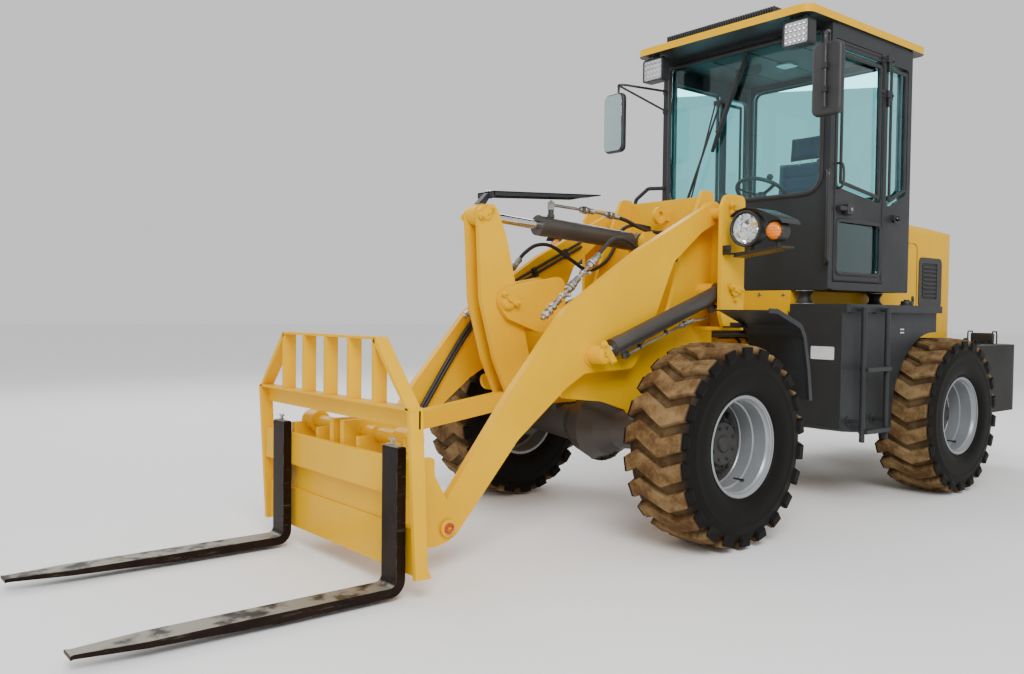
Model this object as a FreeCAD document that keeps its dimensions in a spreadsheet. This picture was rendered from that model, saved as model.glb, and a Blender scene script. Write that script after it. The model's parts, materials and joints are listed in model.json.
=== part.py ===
import FreeCAD, Part
import math
import os

V = FreeCAD.Vector

# Every driving size of the machine in millimetres: alias, value, meaning.
# The machine is drawn with x = 0 at the front axle, +X forward, +Y to its left and
# z = 0 on the ground; placing() moves each sub-part so that x = 0 is mid-length.
DIMENSIONS = [
    # overall
    ("wheelbase", 2477, "front axle to rear axle"),
    ("pivot_back", 1238, "front axle back to the articulation pivot"),
    ("rear_reach", 1647, "rear axle back to the rear face of the counterweight"),
    ("fork_reach", 3140, "front axle forward to the fork tips"),
    ("gap_run", 5, "running gap between bodies"),
    ("gap_pin", 0.3, "radial clearance of a pin in an eye"),
    ("gap_seat", 0.3, "clearance at a bolted seat"),
    # wheels
    ("tyre_radius", 540, "outer radius of the tyre, and height of both axles"),
    ("tyre_width", 400, "overall width of the tyre"),
    ("tyre_middle", 885, "centre plane of the tyre from the middle of the machine"),
    ("tyre_bore", 258, "bead radius of the tyre"),
    ("rim_flange", 272, "outer radius of the rim flange"),
    ("hub_radius", 150, "radius of the planetary hub"),
    ("rim_wall", 10, "thickness of the rim barrel"),
    ("rim_dish", 60, "rim disc inboard of the tyre's middle plane"),
    ("hub_end", 985, "outer face of the drive hub from the middle"),
    ("spindle_radius", 60, "radius of the axle spindles"),
    ("spindle_end", 905, "end of the axle spindle from the middle"),
    ("knuckle_face", 725, "outer face of the axle's knuckle from the middle"),
    ("knuckle_radius", 130, "radius of the axle's knuckle"),
    # axles
    ("diff_radius", 200, "radius of the differential ball"),
    ("axle_tube", 95, "radius of the axle tube"),
    ("nose_front", 60, "nose of the front differential beyond its ball"),
    ("nose_rear", 25, "nose of the rear differential beyond its ball"),
    ("saddle_low", 655, "underside of the front frame's axle saddles"),
    ("trunnion_reach", 232, "rear axle centre to the inner face of a trunnion plate"),
    ("trunnion_plate", 30, "thickness of a trunnion plate"),
    ("trunnion_radius", 62, "radius of the rear axle's trunnion"),
    # boom
    ("boom_x", -506, "boom pivot"),
    ("boom_z", 1833, "boom pivot height"),
    ("tip_x", 1478, "hitch pin at the boom tip"),
    ("tip_z", 220, "hitch pin height"),
    ("arm_inner", 399, "inner face of a boom arm"),
    ("arm_plate", 45, "thickness of a boom arm"),
    ("pin_radius", 35, "main pins"),
    ("small_pin", 26, "cylinder and link pins"),
    # lift cylinders
    ("lift_base_x", -515, "lift cylinder base pin"),
    ("lift_base_z", 1367, "lift cylinder base pin height"),
    ("lift_eye_x", 511, "lift cylinder eye pin on the boom"),
    ("lift_eye_z", 1006, "lift cylinder eye pin height"),
    ("lift_gap", 56, "lift cylinder centre from the outer face of its boom arm"),
    ("lift_barrel_radius", 48, "lift cylinder barrel"),
    ("lift_rod_radius", 27, "lift cylinder rod"),
    ("lift_eye", 84, "width of the lift cylinder eyes"),
    ("lift_gland", 987, "lift barrel from its base pin to the gland face"),
    # boom cross member
    ("cross_x", 440, "torsion tube of the boom"),
    ("cross_z", 1190, "torsion tube height"),
    ("cross_radius", 65, "torsion tube radius"),
    # bellcrank linkage
    ("crank_x", 812, "bellcrank pivot on the boom"),
    ("crank_z", 1286, "bellcrank pivot height"),
    ("crank_top_x", 940, "tilt cylinder eye pin"),
    ("crank_top_z", 1749, "tilt cylinder eye pin height"),
    ("crank_low_x", 680, "tilt link rear pin"),
    ("crank_low_z", 750, "tilt link rear pin height"),
    ("crank_plate", 28, "thickness of a bellcrank plate"),
    ("crank_y", 52, "centre of a bellcrank plate from the middle"),
    ("link_pin_x", 1560, "tilt link front pin"),
    ("link_pin_z", 632, "tilt link front pin height"),
    ("link_height", 95, "height of the tilt link bar"),
    ("eye_width", 66, "width of the cylinder eyes and of the tilt link"),
    # tilt cylinder
    ("tilt_base_x", -320, "tilt cylinder base pin"),
    ("tilt_base_z", 1670, "tilt cylinder base pin height"),
    ("tilt_barrel_radius", 56, "tilt cylinder barrel"),
    ("tilt_rod_radius", 26, "tilt cylinder rod"),
    ("tilt_gland", 844, "tilt barrel from its base pin to the gland face"),
    # steering cylinder
    ("steer_base_x", -1800, "steering cylinder base pin"),
    ("steer_base_y", -235, "steering cylinder base pin from the middle"),
    ("steer_eye_x", -820, "steering cylinder eye pin"),
    ("steer_eye_y", -290, "steering cylinder eye pin from the middle"),
    ("steer_z", 785, "height of the steering cylinder"),
    ("steer_eye", 56, "width of the steering cylinder eyes"),
    ("steer_gland", 620, "steering barrel from its base pin to the gland face"),
    ("steer_barrel_radius", 40, "steering cylinder barrel"),
    ("steer_rod_radius", 20, "steering cylinder rod"),
    # articulation
    ("hinge_low", 600, "underside of the lower hinge lug"),
    ("hinge_high", 940, "underside of the upper hinge lug"),
    ("hinge_plate", 50, "thickness of a hinge lug"),
    ("hinge_pin", 38, "radius of the articulation pins"),
    ("gap_hinge", 5, "gap between the hinge lugs"),
    # front frame
    ("tower_inner", 325, "inner face of an inner tower plate"),
    ("tower_plate", 25, "thickness of the tower plates"),
    ("tower_outer", 560, "inner face of an outer tower plate"),
    ("tower_rear", -620, "rear face of the tower"),
    ("lifting_hole", 26, "radius of the hole in the lifting ring"),
    ("lamp_face", -420, "front face of the headlamps"),
    ("lamp_y", 735, "headlamp from the middle"),
    ("lamp_z", 1720, "headlamp height"),
    ("lamp_radius", 105, "radius of the headlamp"),
    ("amber_y", 905, "direction lamp from the middle"),
    # quick hitch and carriage
    ("hitch_gap", 8, "gap between a boom arm and its hitch ear"),
    ("hitch_plate", 30, "thickness of a hitch ear"),
    ("hitch_disc", 58, "radius of the hitch disc bosses"),
    ("carriage_half", 746, "outer face of a carriage upright"),
    ("carriage_bar", 25, "thickness of the carriage flats"),
    ("carriage_depth", 66, "depth of the carriage flats"),
    ("carriage_x", 1858, "front face of the backrest"),
    ("beam_low", 100, "underside of the carriage's lower beam"),
    ("beam_high", 300, "top of the carriage's lower beam"),
    ("beam_step", 25, "step of the lower beam behind the uprights"),
    ("carriage_low", 92, "lower end of the carriage uprights"),
    ("carriage_rail", 811, "height of the carriage cross rail"),
    ("carriage_top", 1113, "top of the backrest"),
    ("backrest_half", 460, "half length of the backrest top rail"),
    # forks
    ("fork_width", 120, "width of a fork"),
    ("fork_thick", 45, "thickness of a fork"),
    ("fork_blade", 42, "thickness of the fork blade at its heel"),
    ("fork_taper", 26, "rise of the blade's underside at the tip"),
    ("fork_top", 655, "top of the fork shank"),
    ("fork_base", 20, "underside of the fork blade"),
    ("fork_left_y", 618, "centre of the left fork"),
    ("fork_right_y", -464, "centre of the right fork"),
    # cab
    ("cab_front", -1342, "front face of the cab"),
    ("cab_rear", -2384, "rear face of the cab"),
    ("cab_half", 702, "half width of the cab"),
    ("cab_floor", 1393, "underside of the cab floor"),
    ("cab_wall", 50, "thickness of the cab walls and posts"),
    ("roof_top", 3155, "top of the cab roof"),
    ("roof_front", -1046, "front edge of the roof"),
    ("roof_rear", -2559, "rear edge of the roof"),
    ("roof_eave", 17, "overhang of the roof beyond the sides of the cab"),
    ("post_top", 3105, "top of the cab posts"),
    ("door_rear", -2022, "rear edge of the door opening"),
    ("door_low", 1450, "lower edge of the door"),
    ("door_top", 3000, "upper edge of the door"),
    ("hinge_one", 2723, "lower door hinge"),
    ("hinge_two", 2960, "upper door hinge"),
    ("sill_height", 2020, "lower edge of the windscreen"),
    ("glass_thick", 6, "thickness of the glass"),
    ("wheel_radius", 185, "radius of the steering wheel"),
    ("wheel_grip", 14, "radius of the steering wheel's grip"),
    # hood, counterweight and steps
    ("hood_half", 380, "half width of the hood"),
    ("hood_top", 1960, "top of the hood"),
    ("hood_low", 1046, "lower edge of the hood"),
    ("hood_front", -2400, "front edge of the hood"),
    ("frame_half", 330, "outer face of the rear frame's side plates"),
    ("frame_low", 560, "underside of the rear frame"),
    ("hood_tail", 1426, "rear axle back to the rear face of the hood"),
    ("hood_skin", 8, "thickness of the hood sheet"),
    ("hood_bend", 523, "rear axle back to the bend of the hood's top"),
    ("grille_front", 753, "rear axle back to the front edge of a side grille"),
    ("grille_rear", 1023, "rear axle back to the rear edge of a side grille"),
    ("engine_rear", 973, "rear axle back to the rear face of the engine"),
    ("engine_foot", 373, "rear axle back to the front feet of the engine"),
    ("engine_heel", 873, "rear axle back to the rear feet of the engine"),
    ("exhaust_back", 283, "rear axle back to the exhaust pipe"),
    ("platform_rear", 33, "rear axle back to the rear edge of the platform"),
    ("weight_half", 800, "half width of the counterweight"),
    ("weight_arm", 787, "rear axle back to the front ends of the counterweight"),
    ("weight_low", 468, "underside of the counterweight"),
    ("weight_top", 1003, "top of the counterweight"),
    ("tow_pin_radius", 22, "radius of the tow pin hole"),
    ("step_front", -1260, "front face of the step boxes"),
    ("step_outer", 855, "outer face of the step boxes"),
    ("step_inner", 470, "inner face of the step boxes"),
    ("platform_top", 1300, "top of the step platform"),
    ("platform_edge", 905, "outer edge of the step platform"),
]


class Size:
    """A length that carries both its value and the sheet expression that gives it."""

    def __init__(self, value, text):
        self.value = float(value)
        self.text = text

    def __float__(self):
        return self.value

    def __neg__(self):
        return Size(-self.value, f"(0 - {self.text})")

    def __add__(self, other):
        return joined(self, "+", other, self.value + float(other))

    def __radd__(self, other):
        return joined(other, "+", self, self.value + float(other))

    def __sub__(self, other):
        return joined(self, "-", other, self.value - float(other))

    def __rsub__(self, other):
        return joined(other, "-", self, float(other) - self.value)

    def __mul__(self, other):
        return joined(self, "*", other, self.value * float(other))

    def __rmul__(self, other):
        return joined(other, "*", self, self.value * float(other))

    def __truediv__(self, other):
        return joined(self, "/", other, self.value / float(other))


def text_of(value):
    """The expression text of a size or of a plain number."""
    if isinstance(value, Size):
        return value.text
    if value < 0:
        return f"(0 - {-float(value):.9g})"
    return f"{float(value):.9g}"


def joined(left, sign, right, value):
    return Size(value, f"({text_of(left)} {sign} {text_of(right)})")


doc = FreeCAD.newDocument("loader")
sheet = doc.addObject("Spreadsheet::Sheet", "dims")
for row, (alias, value, meaning) in enumerate(DIMENSIONS, start=1):
    sheet.set(f"A{row}", meaning)
    sheet.set(f"B{row}", str(value))
    sheet.setAlias(f"B{row}", alias)
doc.recompute()


class Dims:
    """Gives each cell of the sheet as a Size, so dims.wheelbase reads like a number."""

    def __getattr__(self, alias):
        return Size(sheet.get(alias), "dims." + alias)


dims = Dims()
ZERO = Size(0, "0")

# places that follow from several sizes
REAR_AXLE = 0 - dims.wheelbase
MACHINE_REAR = REAR_AXLE - dims.rear_reach
HOOD_REAR = REAR_AXLE - dims.hood_tail
WEIGHT_FRONT = REAR_AXLE - dims.weight_arm
ARM_OUTER = dims.arm_inner + dims.arm_plate
LIFT_Y = ARM_OUTER + dims.lift_gap
HITCH_INNER = ARM_OUTER + dims.hitch_gap
ROOF_HALF = dims.cab_half + dims.roof_eave

# Normal of each sketch plane: a sketch on XZ looks along -Y, the others along +X and +Z.
NORMAL_SIGN = {"XY": 1, "XZ": -1, "YZ": 1}
SUBPARTS = []


def bind(target, name, value):
    """Sets a property from a number or from a size with its expression."""
    if isinstance(value, Size):
        target.setExpression(name, value.text)
    else:
        target.setExpression(name, text_of(value))


def placing(target):
    """Moves a finished sub-part so that the machine's mid-length is at x = 0."""
    bind(target, "Placement.Base.x", (0 - MACHINE_REAR - dims.fork_reach) / 2)
    SUBPARTS.append(target)
    return target


def rounded(points):
    """Lines and tangent arcs round an outline of (u, v) or (u, v, radius) points."""
    flat = [V(float(p[0]), float(p[1]), 0) for p in points]
    radii = [float(p[2]) if len(p) > 2 else 0.0 for p in points]
    edges, starts, ends, middles = [], [], [], []
    for i, here in enumerate(flat):
        back = (flat[i - 1] - here).normalize()
        ahead = (flat[(i + 1) % len(flat)] - here).normalize()
        half = back.getAngle(ahead) / 2
        reach = radii[i] / math.tan(half)
        toward = (back + ahead)
        starts.append(here + back * reach)
        ends.append(here + ahead * reach)
        if radii[i]:
            toward.normalize()
            middles.append(here + toward * (radii[i] / math.sin(half) - radii[i]))
        else:
            middles.append(None)
    for i in range(len(flat)):
        after = (i + 1) % len(flat)
        if middles[i] is not None:
            edges.append(Part.Arc(starts[i], middles[i], ends[i]))
        if (starts[after] - ends[i]).Length > 1e-6:
            edges.append(Part.LineSegment(ends[i], starts[after]))
    return edges


def ring(u, v, radius):
    """A circle as an outline."""
    return {"circle": (u, v, radius)}


def box(low_u, high_u, low_v, high_v, radius=None):
    """A rectangle as an outline, with rounded corners where a radius is given."""
    corners = [(low_u, low_v), (high_u, low_v), (high_u, high_v), (low_u, high_v)]
    if radius:
        return [corner + (radius,) for corner in corners]
    return corners


class Piece:
    """A PartDesign body that grows by pads, pockets, revolutions and rods."""

    def __init__(self, name):
        self.name = name
        self.body = doc.addObject("PartDesign::Body", name)
        self.body.Label = name
        self.count = 0

    def title(self, kind):
        self.count += 1
        return f"{self.name}_{kind}_{self.count}"

    def sketch(self, plane, offset, outlines):
        sketch = self.body.newObject("Sketcher::SketchObject", self.title("sketch"))
        role = plane + "_Plane"
        origin = [f for f in self.body.Origin.OriginFeatures if f.Role == role][0]
        sketch.AttachmentSupport = [(origin, "")]
        sketch.MapMode = "FlatFace"
        lift = offset if NORMAL_SIGN[plane] > 0 else 0 - offset
        bind(sketch, "AttachmentOffset.Base.z", lift)
        for outline in outlines:
            if isinstance(outline, dict):
                u, v, radius = outline["circle"]
                place = V(float(u), float(v), 0)
                circle = Part.Circle(place, V(0, 0, 1), float(radius))
                sketch.addGeometry(circle, False)
            else:
                for edge in rounded(outline):
                    sketch.addGeometry(edge, False)
        return sketch

    def pad(self, plane, middle, thickness, *outlines):
        """Adds a plate of the given thickness about the plane at middle."""
        sketch = self.sketch(plane, middle, outlines)
        pad = self.body.newObject("PartDesign::Pad", self.title("pad"))
        pad.Profile = sketch
        pad.SideType = "Symmetric"
        bind(pad, "Length", thickness)
        return self

    def slab(self, plane, low, high, *outlines):
        """Adds a plate between two planes."""
        return self.pad(plane, (low + high) / 2, high - low, *outlines)

    def cut(self, plane, low, high, *outlines):
        """Cuts an outline away between two planes."""
        sketch = self.sketch(plane, (low + high) / 2, outlines)
        pocket = self.body.newObject("PartDesign::Pocket", self.title("pocket"))
        pocket.Profile = sketch
        pocket.SideType = "Symmetric"
        bind(pocket, "Length", high - low)
        return self

    def turn(self, plane, offset, start, along, *outlines):
        """Revolves outlines about the line through start along a sketch direction."""
        sketch = self.sketch(plane, offset, outlines)
        first = V(float(start[0]), float(start[1]), 0)
        second = first + V(along[0], along[1], 0) * 100
        sketch.addGeometry(Part.LineSegment(first, second), True)
        spin = self.body.newObject("PartDesign::Revolution", self.title("turn"))
        spin.Profile = sketch
        spin.ReferenceAxis = (sketch, ["Axis0"])
        spin.Angle = 360
        return self

    def rod(self, start, end, radius):
        """Adds a round bar between two points."""
        first, second = point(start), point(end)
        bar = self.body.newObject("PartDesign::AdditiveCylinder", self.title("rod"))
        bind(bar, "Radius", radius)
        bar.Height = (second - first).Length
        bar.Placement = FreeCAD.Placement(first, turned(second - first))
        return self

    def bore(self, start, end, radius):
        """Cuts a round hole between two points."""
        first, second = point(start), point(end)
        hole = self.body.newObject("PartDesign::SubtractiveCylinder", self.title("bore"))
        bind(hole, "Radius", radius)
        hole.Height = (second - first).Length
        hole.Placement = FreeCAD.Placement(first, turned(second - first))
        return self

    def done(self):
        return placing(self.body)


def point(place):
    """A vector from three sizes or numbers."""
    return V(*[float(value) for value in place])


def turned(direction):
    """The rotation that turns +Z to a direction."""
    return FreeCAD.Rotation(V(0, 0, 1), direction)


def bent_tube(name, places, radius, bend):
    """A tube along straight runs joined by tangent arcs of one radius."""
    path = [point(place) for place in places]
    edges, last = [], path[0]
    for i in range(1, len(path) - 1):
        back = (path[i - 1] - path[i]).normalize()
        ahead = (path[i + 1] - path[i]).normalize()
        half = back.getAngle(ahead) / 2
        reach = float(bend) / math.tan(half)
        start, end = path[i] + back * reach, path[i] + ahead * reach
        toward = (back + ahead).normalize()
        middle = path[i] + toward * (float(bend) / math.sin(half) - float(bend))
        edges.append(Part.LineSegment(last, start).toShape())
        edges.append(Part.Arc(start, middle, end).toShape())
        last = end
    edges.append(Part.LineSegment(last, path[-1]).toShape())
    spine = Part.Wire(edges)
    circle = Part.Circle(path[0], (path[1] - path[0]).normalize(), float(radius))
    profile = Part.Wire([circle.toShape()])
    tube = doc.addObject("Part::Feature", name)
    tube.Shape = spine.makePipeShell([profile], True, False)
    return tube


def fused(name, pieces):
    """Joins bodies and tubes into one solid."""
    join = doc.addObject("Part::MultiFuse", name)
    join.Label = name
    join.Shapes = [piece.body if isinstance(piece, Piece) else piece for piece in pieces]
    return join


def on_cab_face(name, pieces):
    """Joins tubes into one sub-part whose feet stand flush on the cab's front face."""
    face = dims.cab_front + dims.gap_seat
    block = Piece(name + "_foot_line")
    block.slab("YZ", face - 80, face, box(-1000, 1000, 1400, 3000))
    trim = doc.addObject("Part::Cut", name)
    trim.Base = fused(name + "_tubes", pieces)
    trim.Tool = block.body
    trim.Label = name
    return placing(trim)


SIDES = (("left", 1), ("right", -1))


def span(low, high, side):
    """A pair of planes mirrored to a side, in rising order."""
    if side > 0:
        return low, high
    return 0 - high, 0 - low


def mirrored(outline, side):
    """An outline with its first coordinate mirrored to a side."""
    return [(corner[0] * side,) + tuple(corner[1:]) for corner in outline]


# ---------------------------------------------------------------- wheels and axles

def tyre(name, axle_x, side):
    """A wide tyre with round shoulders, revolved about its axle."""
    hub = dims.tyre_radius
    middle = dims.tyre_middle
    half = dims.tyre_width / 2
    heel = half * 0.78
    bead = hub + dims.tyre_bore
    top = hub + dims.tyre_radius
    outline = [
        (middle - heel, bead), (middle + heel, bead), (middle + heel, bead + 18),
        (middle + half, bead + 95), (middle + half, top - 80), (middle + half * 0.84, top - 12),
        (middle, top), (middle - half * 0.84, top - 12), (middle - half, top - 80),
        (middle - half, bead + 95), (middle - heel, bead + 18),
    ]
    piece = Piece(name)
    piece.turn("YZ", axle_x, (0, hub), (1, 0), mirrored(outline, side))
    return piece.done()


def rim(name, axle_x, side):
    """A dished rim and its drive hub; the axle's spindle runs in the hub bore."""
    hub = dims.tyre_radius
    middle = dims.tyre_middle
    edge = dims.tyre_width / 2 * 0.78
    seat = dims.tyre_bore - dims.gap_seat
    flange = hub + dims.rim_flange
    wall = hub + seat - dims.rim_wall
    disc = middle - dims.rim_dish
    drum = hub + dims.hub_radius
    bore = hub + dims.spindle_radius + dims.gap_pin
    inner_face = dims.knuckle_face + dims.gap_run
    blind = dims.spindle_end + dims.gap_run
    outline = [
        (middle + edge + 13, flange), (middle + edge + 1, flange),
        (middle + edge + 1, hub + seat), (middle - edge - 1, hub + seat),
        (middle - edge - 1, flange), (middle - edge - 13, flange),
        (middle - edge - 13, wall), (disc, wall - 15),
        (disc, drum + 20), (inner_face, drum), (inner_face, bore), (blind, bore), (blind, hub),
        (dims.hub_end, hub), (dims.hub_end, hub + 85), (dims.hub_end - 45, hub + 118),
        (disc + 55, drum), (disc + 16, drum + 20), (disc + 16, wall - 30),
        (middle + edge + 13, wall),
    ]
    piece = Piece(name)
    piece.turn("YZ", axle_x, (0, hub), (1, 0), mirrored(outline, side))
    return piece.done()


def axle(name, axle_x, nose):
    """A rigid drive axle: differential ball, tapered tubes, knuckles and spindles."""
    hub = dims.tyre_radius
    ball = dims.diff_radius
    tube = dims.axle_tube
    face = dims.knuckle_face
    half = [
        (0, hub), (0, hub + ball), (ball * 0.55, hub + ball * 0.84), (ball, hub + tube + 20),
        (face - 110, hub + tube * 0.85), (face - 70, hub + dims.knuckle_radius),
        (face, hub + dims.knuckle_radius), (face, hub + dims.spindle_radius),
        (dims.spindle_end, hub + dims.spindle_radius), (dims.spindle_end, hub),
    ]
    piece = Piece(name)
    for side_name, side in SIDES:
        piece.turn("YZ", axle_x, (0, hub), (1, 0), mirrored(half, side))
    piece.rod((axle_x, 0, hub), (axle_x + nose, 0, hub), ball * 0.55)
    return piece


def front_axle():
    """The front axle, bolted to the saddles of the front frame."""
    piece = axle("front_axle", ZERO, 0 - dims.diff_radius - dims.nose_front)
    low, high = dims.tyre_radius, dims.saddle_low - dims.gap_seat
    for name, side in SIDES:
        y_low, y_high = span(dims.tower_inner - 15, dims.tower_inner + dims.tower_plate + 15, side)
        piece.slab("XY", low, high, box(-75, 75, y_low, y_high))
    return piece.done()


def rear_axle():
    """The rear axle, hung by a trunnion in front of and behind its differential."""
    piece = axle("rear_axle", 0 - dims.wheelbase, dims.diff_radius + dims.nose_rear)
    reach = dims.trunnion_reach + dims.trunnion_plate
    start = (0 - dims.wheelbase - reach, 0, dims.tyre_radius)
    end = (0 - dims.wheelbase + reach, 0, dims.tyre_radius)
    piece.rod(start, end, dims.trunnion_radius)
    return piece.done()


# ---------------------------------------------------------------- front body

def front_frame():
    """Tower plates that carry the boom, the nose on the axle and the hinge lugs."""
    piece = Piece("front_frame")
    rear, low = dims.tower_rear, dims.saddle_low
    inner = [
        (rear, 1985, 30), (-515, 1985, 30), (-350, 1640, 120), (-215, 1250, 150),
        (60, 985, 200), (655, 850, 30), (650, 770, 60), (330, 735, 120), (130, low + 20, 40),
        (110, low), (-110, low), (-130, low + 20, 40), (-330, 700, 100), (rear, 660, 40),
    ]
    outer = [
        (rear, 1935, 40), (-440, 1935, 60), (-400, 1860, 40), (-400, 1230, 60),
        (-440, 1133, 30), (rear, 1133),
    ]
    plate = dims.tower_plate
    for name, side in SIDES:
        piece.slab("XZ", *span(dims.tower_inner, dims.tower_inner + plate, side), inner)
        piece.slab("XZ", *span(dims.tower_outer, dims.tower_outer + plate, side), outer)
        y_low, y_high = span(dims.tower_inner + plate, dims.tower_outer, side)
        piece.slab("XY", 1133, 1900, box(rear, rear + 15, y_low, y_high))
        piece.slab("XY", 1133, 1153, box(rear + 15, -440, y_low, y_high))
        # base boss of the lift cylinder, either side of its eye
        for y_inner, y_outer in ((dims.tower_inner + plate, LIFT_Y - dims.lift_eye / 2 - 3),
                                 (LIFT_Y + dims.lift_eye / 2 + 3, dims.tower_outer)):
            y_low, y_high = span(y_inner, y_outer, side)
            piece.rod((dims.lift_base_x, y_low, dims.lift_base_z),
                      (dims.lift_base_x, y_high, dims.lift_base_z), 48)
        # pins of the boom and of the lift cylinder
        for pin_x, pin_z, radius in ((dims.boom_x, dims.boom_z, dims.pin_radius),
                                     (dims.lift_base_x, dims.lift_base_z, dims.small_pin)):
            y_low, y_high = span(dims.tower_inner, dims.tower_outer + plate + 12, side)
            piece.rod((pin_x, y_low, pin_z), (pin_x, y_high, pin_z), radius)
    # rear plate between the inner plates and the cross members
    piece.slab("XY", low + 60, 1560, box(rear, rear + plate, -dims.tower_inner, dims.tower_inner))
    piece.slab("XY", 1600, 1960, box(rear, rear + plate, -dims.tower_inner, dims.tower_inner))
    piece.rod((230, -dims.tower_inner, 850), (230, dims.tower_inner, 850), 40)
    # lugs of the tilt cylinder base, with a gusset plate under them
    for name, side in SIDES:
        y_low, y_high = span(dims.eye_width / 2 + 3, dims.eye_width / 2 + 33, side)
        lug = [
            (rear + plate, 1770), (rear + plate, 1600), (dims.tilt_base_x, dims.tilt_base_z - 70, 60),
            (dims.tilt_base_x + 65, dims.tilt_base_z, 60), (dims.tilt_base_x, dims.tilt_base_z + 65, 50),
        ]
        piece.slab("XZ", y_low, y_high, lug)
    wide = dims.eye_width
    piece.bore((dims.tilt_base_x, 0 - wide - 10, dims.tilt_base_z),
               (dims.tilt_base_x, wide + 10, dims.tilt_base_z), dims.small_pin + dims.gap_pin)
    # lifting ring
    ring_x, ring_z = dims.tower_rear + 106, 1855
    piece.slab("XZ", -15, 15, ring(ring_x, ring_z, 53))
    piece.slab("XZ", -15, 15, box(rear + plate, ring_x, ring_z - 30, ring_z + 30))
    piece.bore((ring_x, -40, ring_z), (ring_x, 40, ring_z), dims.lifting_hole)
    # hinge: a box back to the pivot with an upper and a lower lug
    for low_z in (dims.hinge_low, dims.hinge_high):
        lug = [
            (rear + 5, -240), (rear + 5, 240), (0 - dims.pivot_back + 60, 112, 60),
            (0 - dims.pivot_back - 112, 112, 110), (0 - dims.pivot_back - 112, -112, 110),
            (0 - dims.pivot_back + 60, -112, 60),
        ]
        piece.slab("XY", low_z, low_z + dims.hinge_plate, lug)
        piece.bore((0 - dims.pivot_back, 0, low_z - 10), (0 - dims.pivot_back, 0, low_z + 90),
                   dims.hinge_pin + dims.gap_pin)
    for name, side in SIDES:
        y_low, y_high = span(190, 215, side)
        web = [
            (rear + 5, dims.hinge_low), (rear + 5, dims.hinge_high + 40),
            (rear - 180, dims.hinge_high, 60), (rear - 240, dims.hinge_high - 120, 100),
            (rear - 240, dims.hinge_low + 150, 100), (rear - 180, dims.hinge_low + 40, 60),
        ]
        piece.slab("XZ", y_low, y_high, web)
    # ear of the steering cylinder
    eye_x, eye_y = dims.steer_eye_x, dims.steer_eye_y
    for offset in (-1, 1):
        z_low = dims.steer_z + offset * (dims.steer_eye / 2 + 13) - 10
        ear = [
            (rear, eye_y + 60), (rear, eye_y - 60), (eye_x, eye_y - 38, 30),
            (eye_x - 40, eye_y, 30), (eye_x, eye_y + 38, 30),
        ]
        piece.slab("XY", z_low, z_low + 20, ear)
    return piece.done()


def front_fenders():
    """A bent sheet fender over the rear of each front tyre, on a bracket from the tower."""
    piece = Piece("front_fenders")
    sheet_line = [
        (-200, 1254), (-271, 1254, 60), (-501, 1173, 60), (-545, 1110, 60), (-589, 921, 200),
        (-615, 751), (-607, 750), (-581, 920, 192), (-538, 1108, 52), (-496, 1166, 52),
        (-270, 1246, 52), (-200, 1246),
    ]
    flange = [
        (-200, 1262), (-271, 1262, 60), (-505, 1180, 60), (-552, 1112, 60), (-597, 921, 200),
        (-623, 750), (-595, 748), (-570, 918, 180), (-526, 1102, 40), (-490, 1156, 40),
        (-268, 1236, 40), (-200, 1236),
    ]
    for name, side in SIDES:
        piece.slab("XZ", *span(675, 1052, side), sheet_line)
        piece.slab("XZ", *span(1052, 1060, side), flange)
        y_low, y_high = span(dims.tower_outer + dims.tower_plate + dims.gap_seat, 700, side)
        piece.slab("XY", 1150, 1158, box(-590, -420, y_low, y_high))
        piece.slab("XY", 1158, 1180, box(-500, -492, y_low, y_high))
    return piece.done()


def headlamps():
    """Round headlamps and amber direction lamps on brackets beside the tower."""
    piece = Piece("headlamps")
    face_x, lamp_z = dims.lamp_face, dims.lamp_z
    for name, side in SIDES:
        lamp_y = dims.lamp_y * side
        amber_y = dims.amber_y * side
        piece.rod((face_x - 150, lamp_y, lamp_z), (face_x - 60, lamp_y, lamp_z), 80)
        piece.rod((face_x - 60, lamp_y, lamp_z), (face_x, lamp_y, lamp_z), dims.lamp_radius)
        piece.rod((face_x - 90, amber_y, lamp_z - 20), (face_x - 20, amber_y, lamp_z - 20), 58)
        y_low, y_high = span(dims.tower_outer + dims.tower_plate + dims.gap_seat, dims.amber_y + 60, side)
        piece.slab("XY", lamp_z - 118, lamp_z - 106, box(face_x - 160, face_x - 30, y_low, y_high))
        piece.slab("XZ", *span(dims.amber_y - 10, dims.amber_y + 10, side),
                   box(face_x - 85, face_x - 40, lamp_z - 110, lamp_z - 70))
        piece.slab("XZ", *span(dims.lamp_y - 30, dims.lamp_y + 30, side),
                   box(face_x - 130, face_x - 30, lamp_z - 110, lamp_z - 70))
    return piece.done()


# ---------------------------------------------------------------- boom and its linkage

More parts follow.
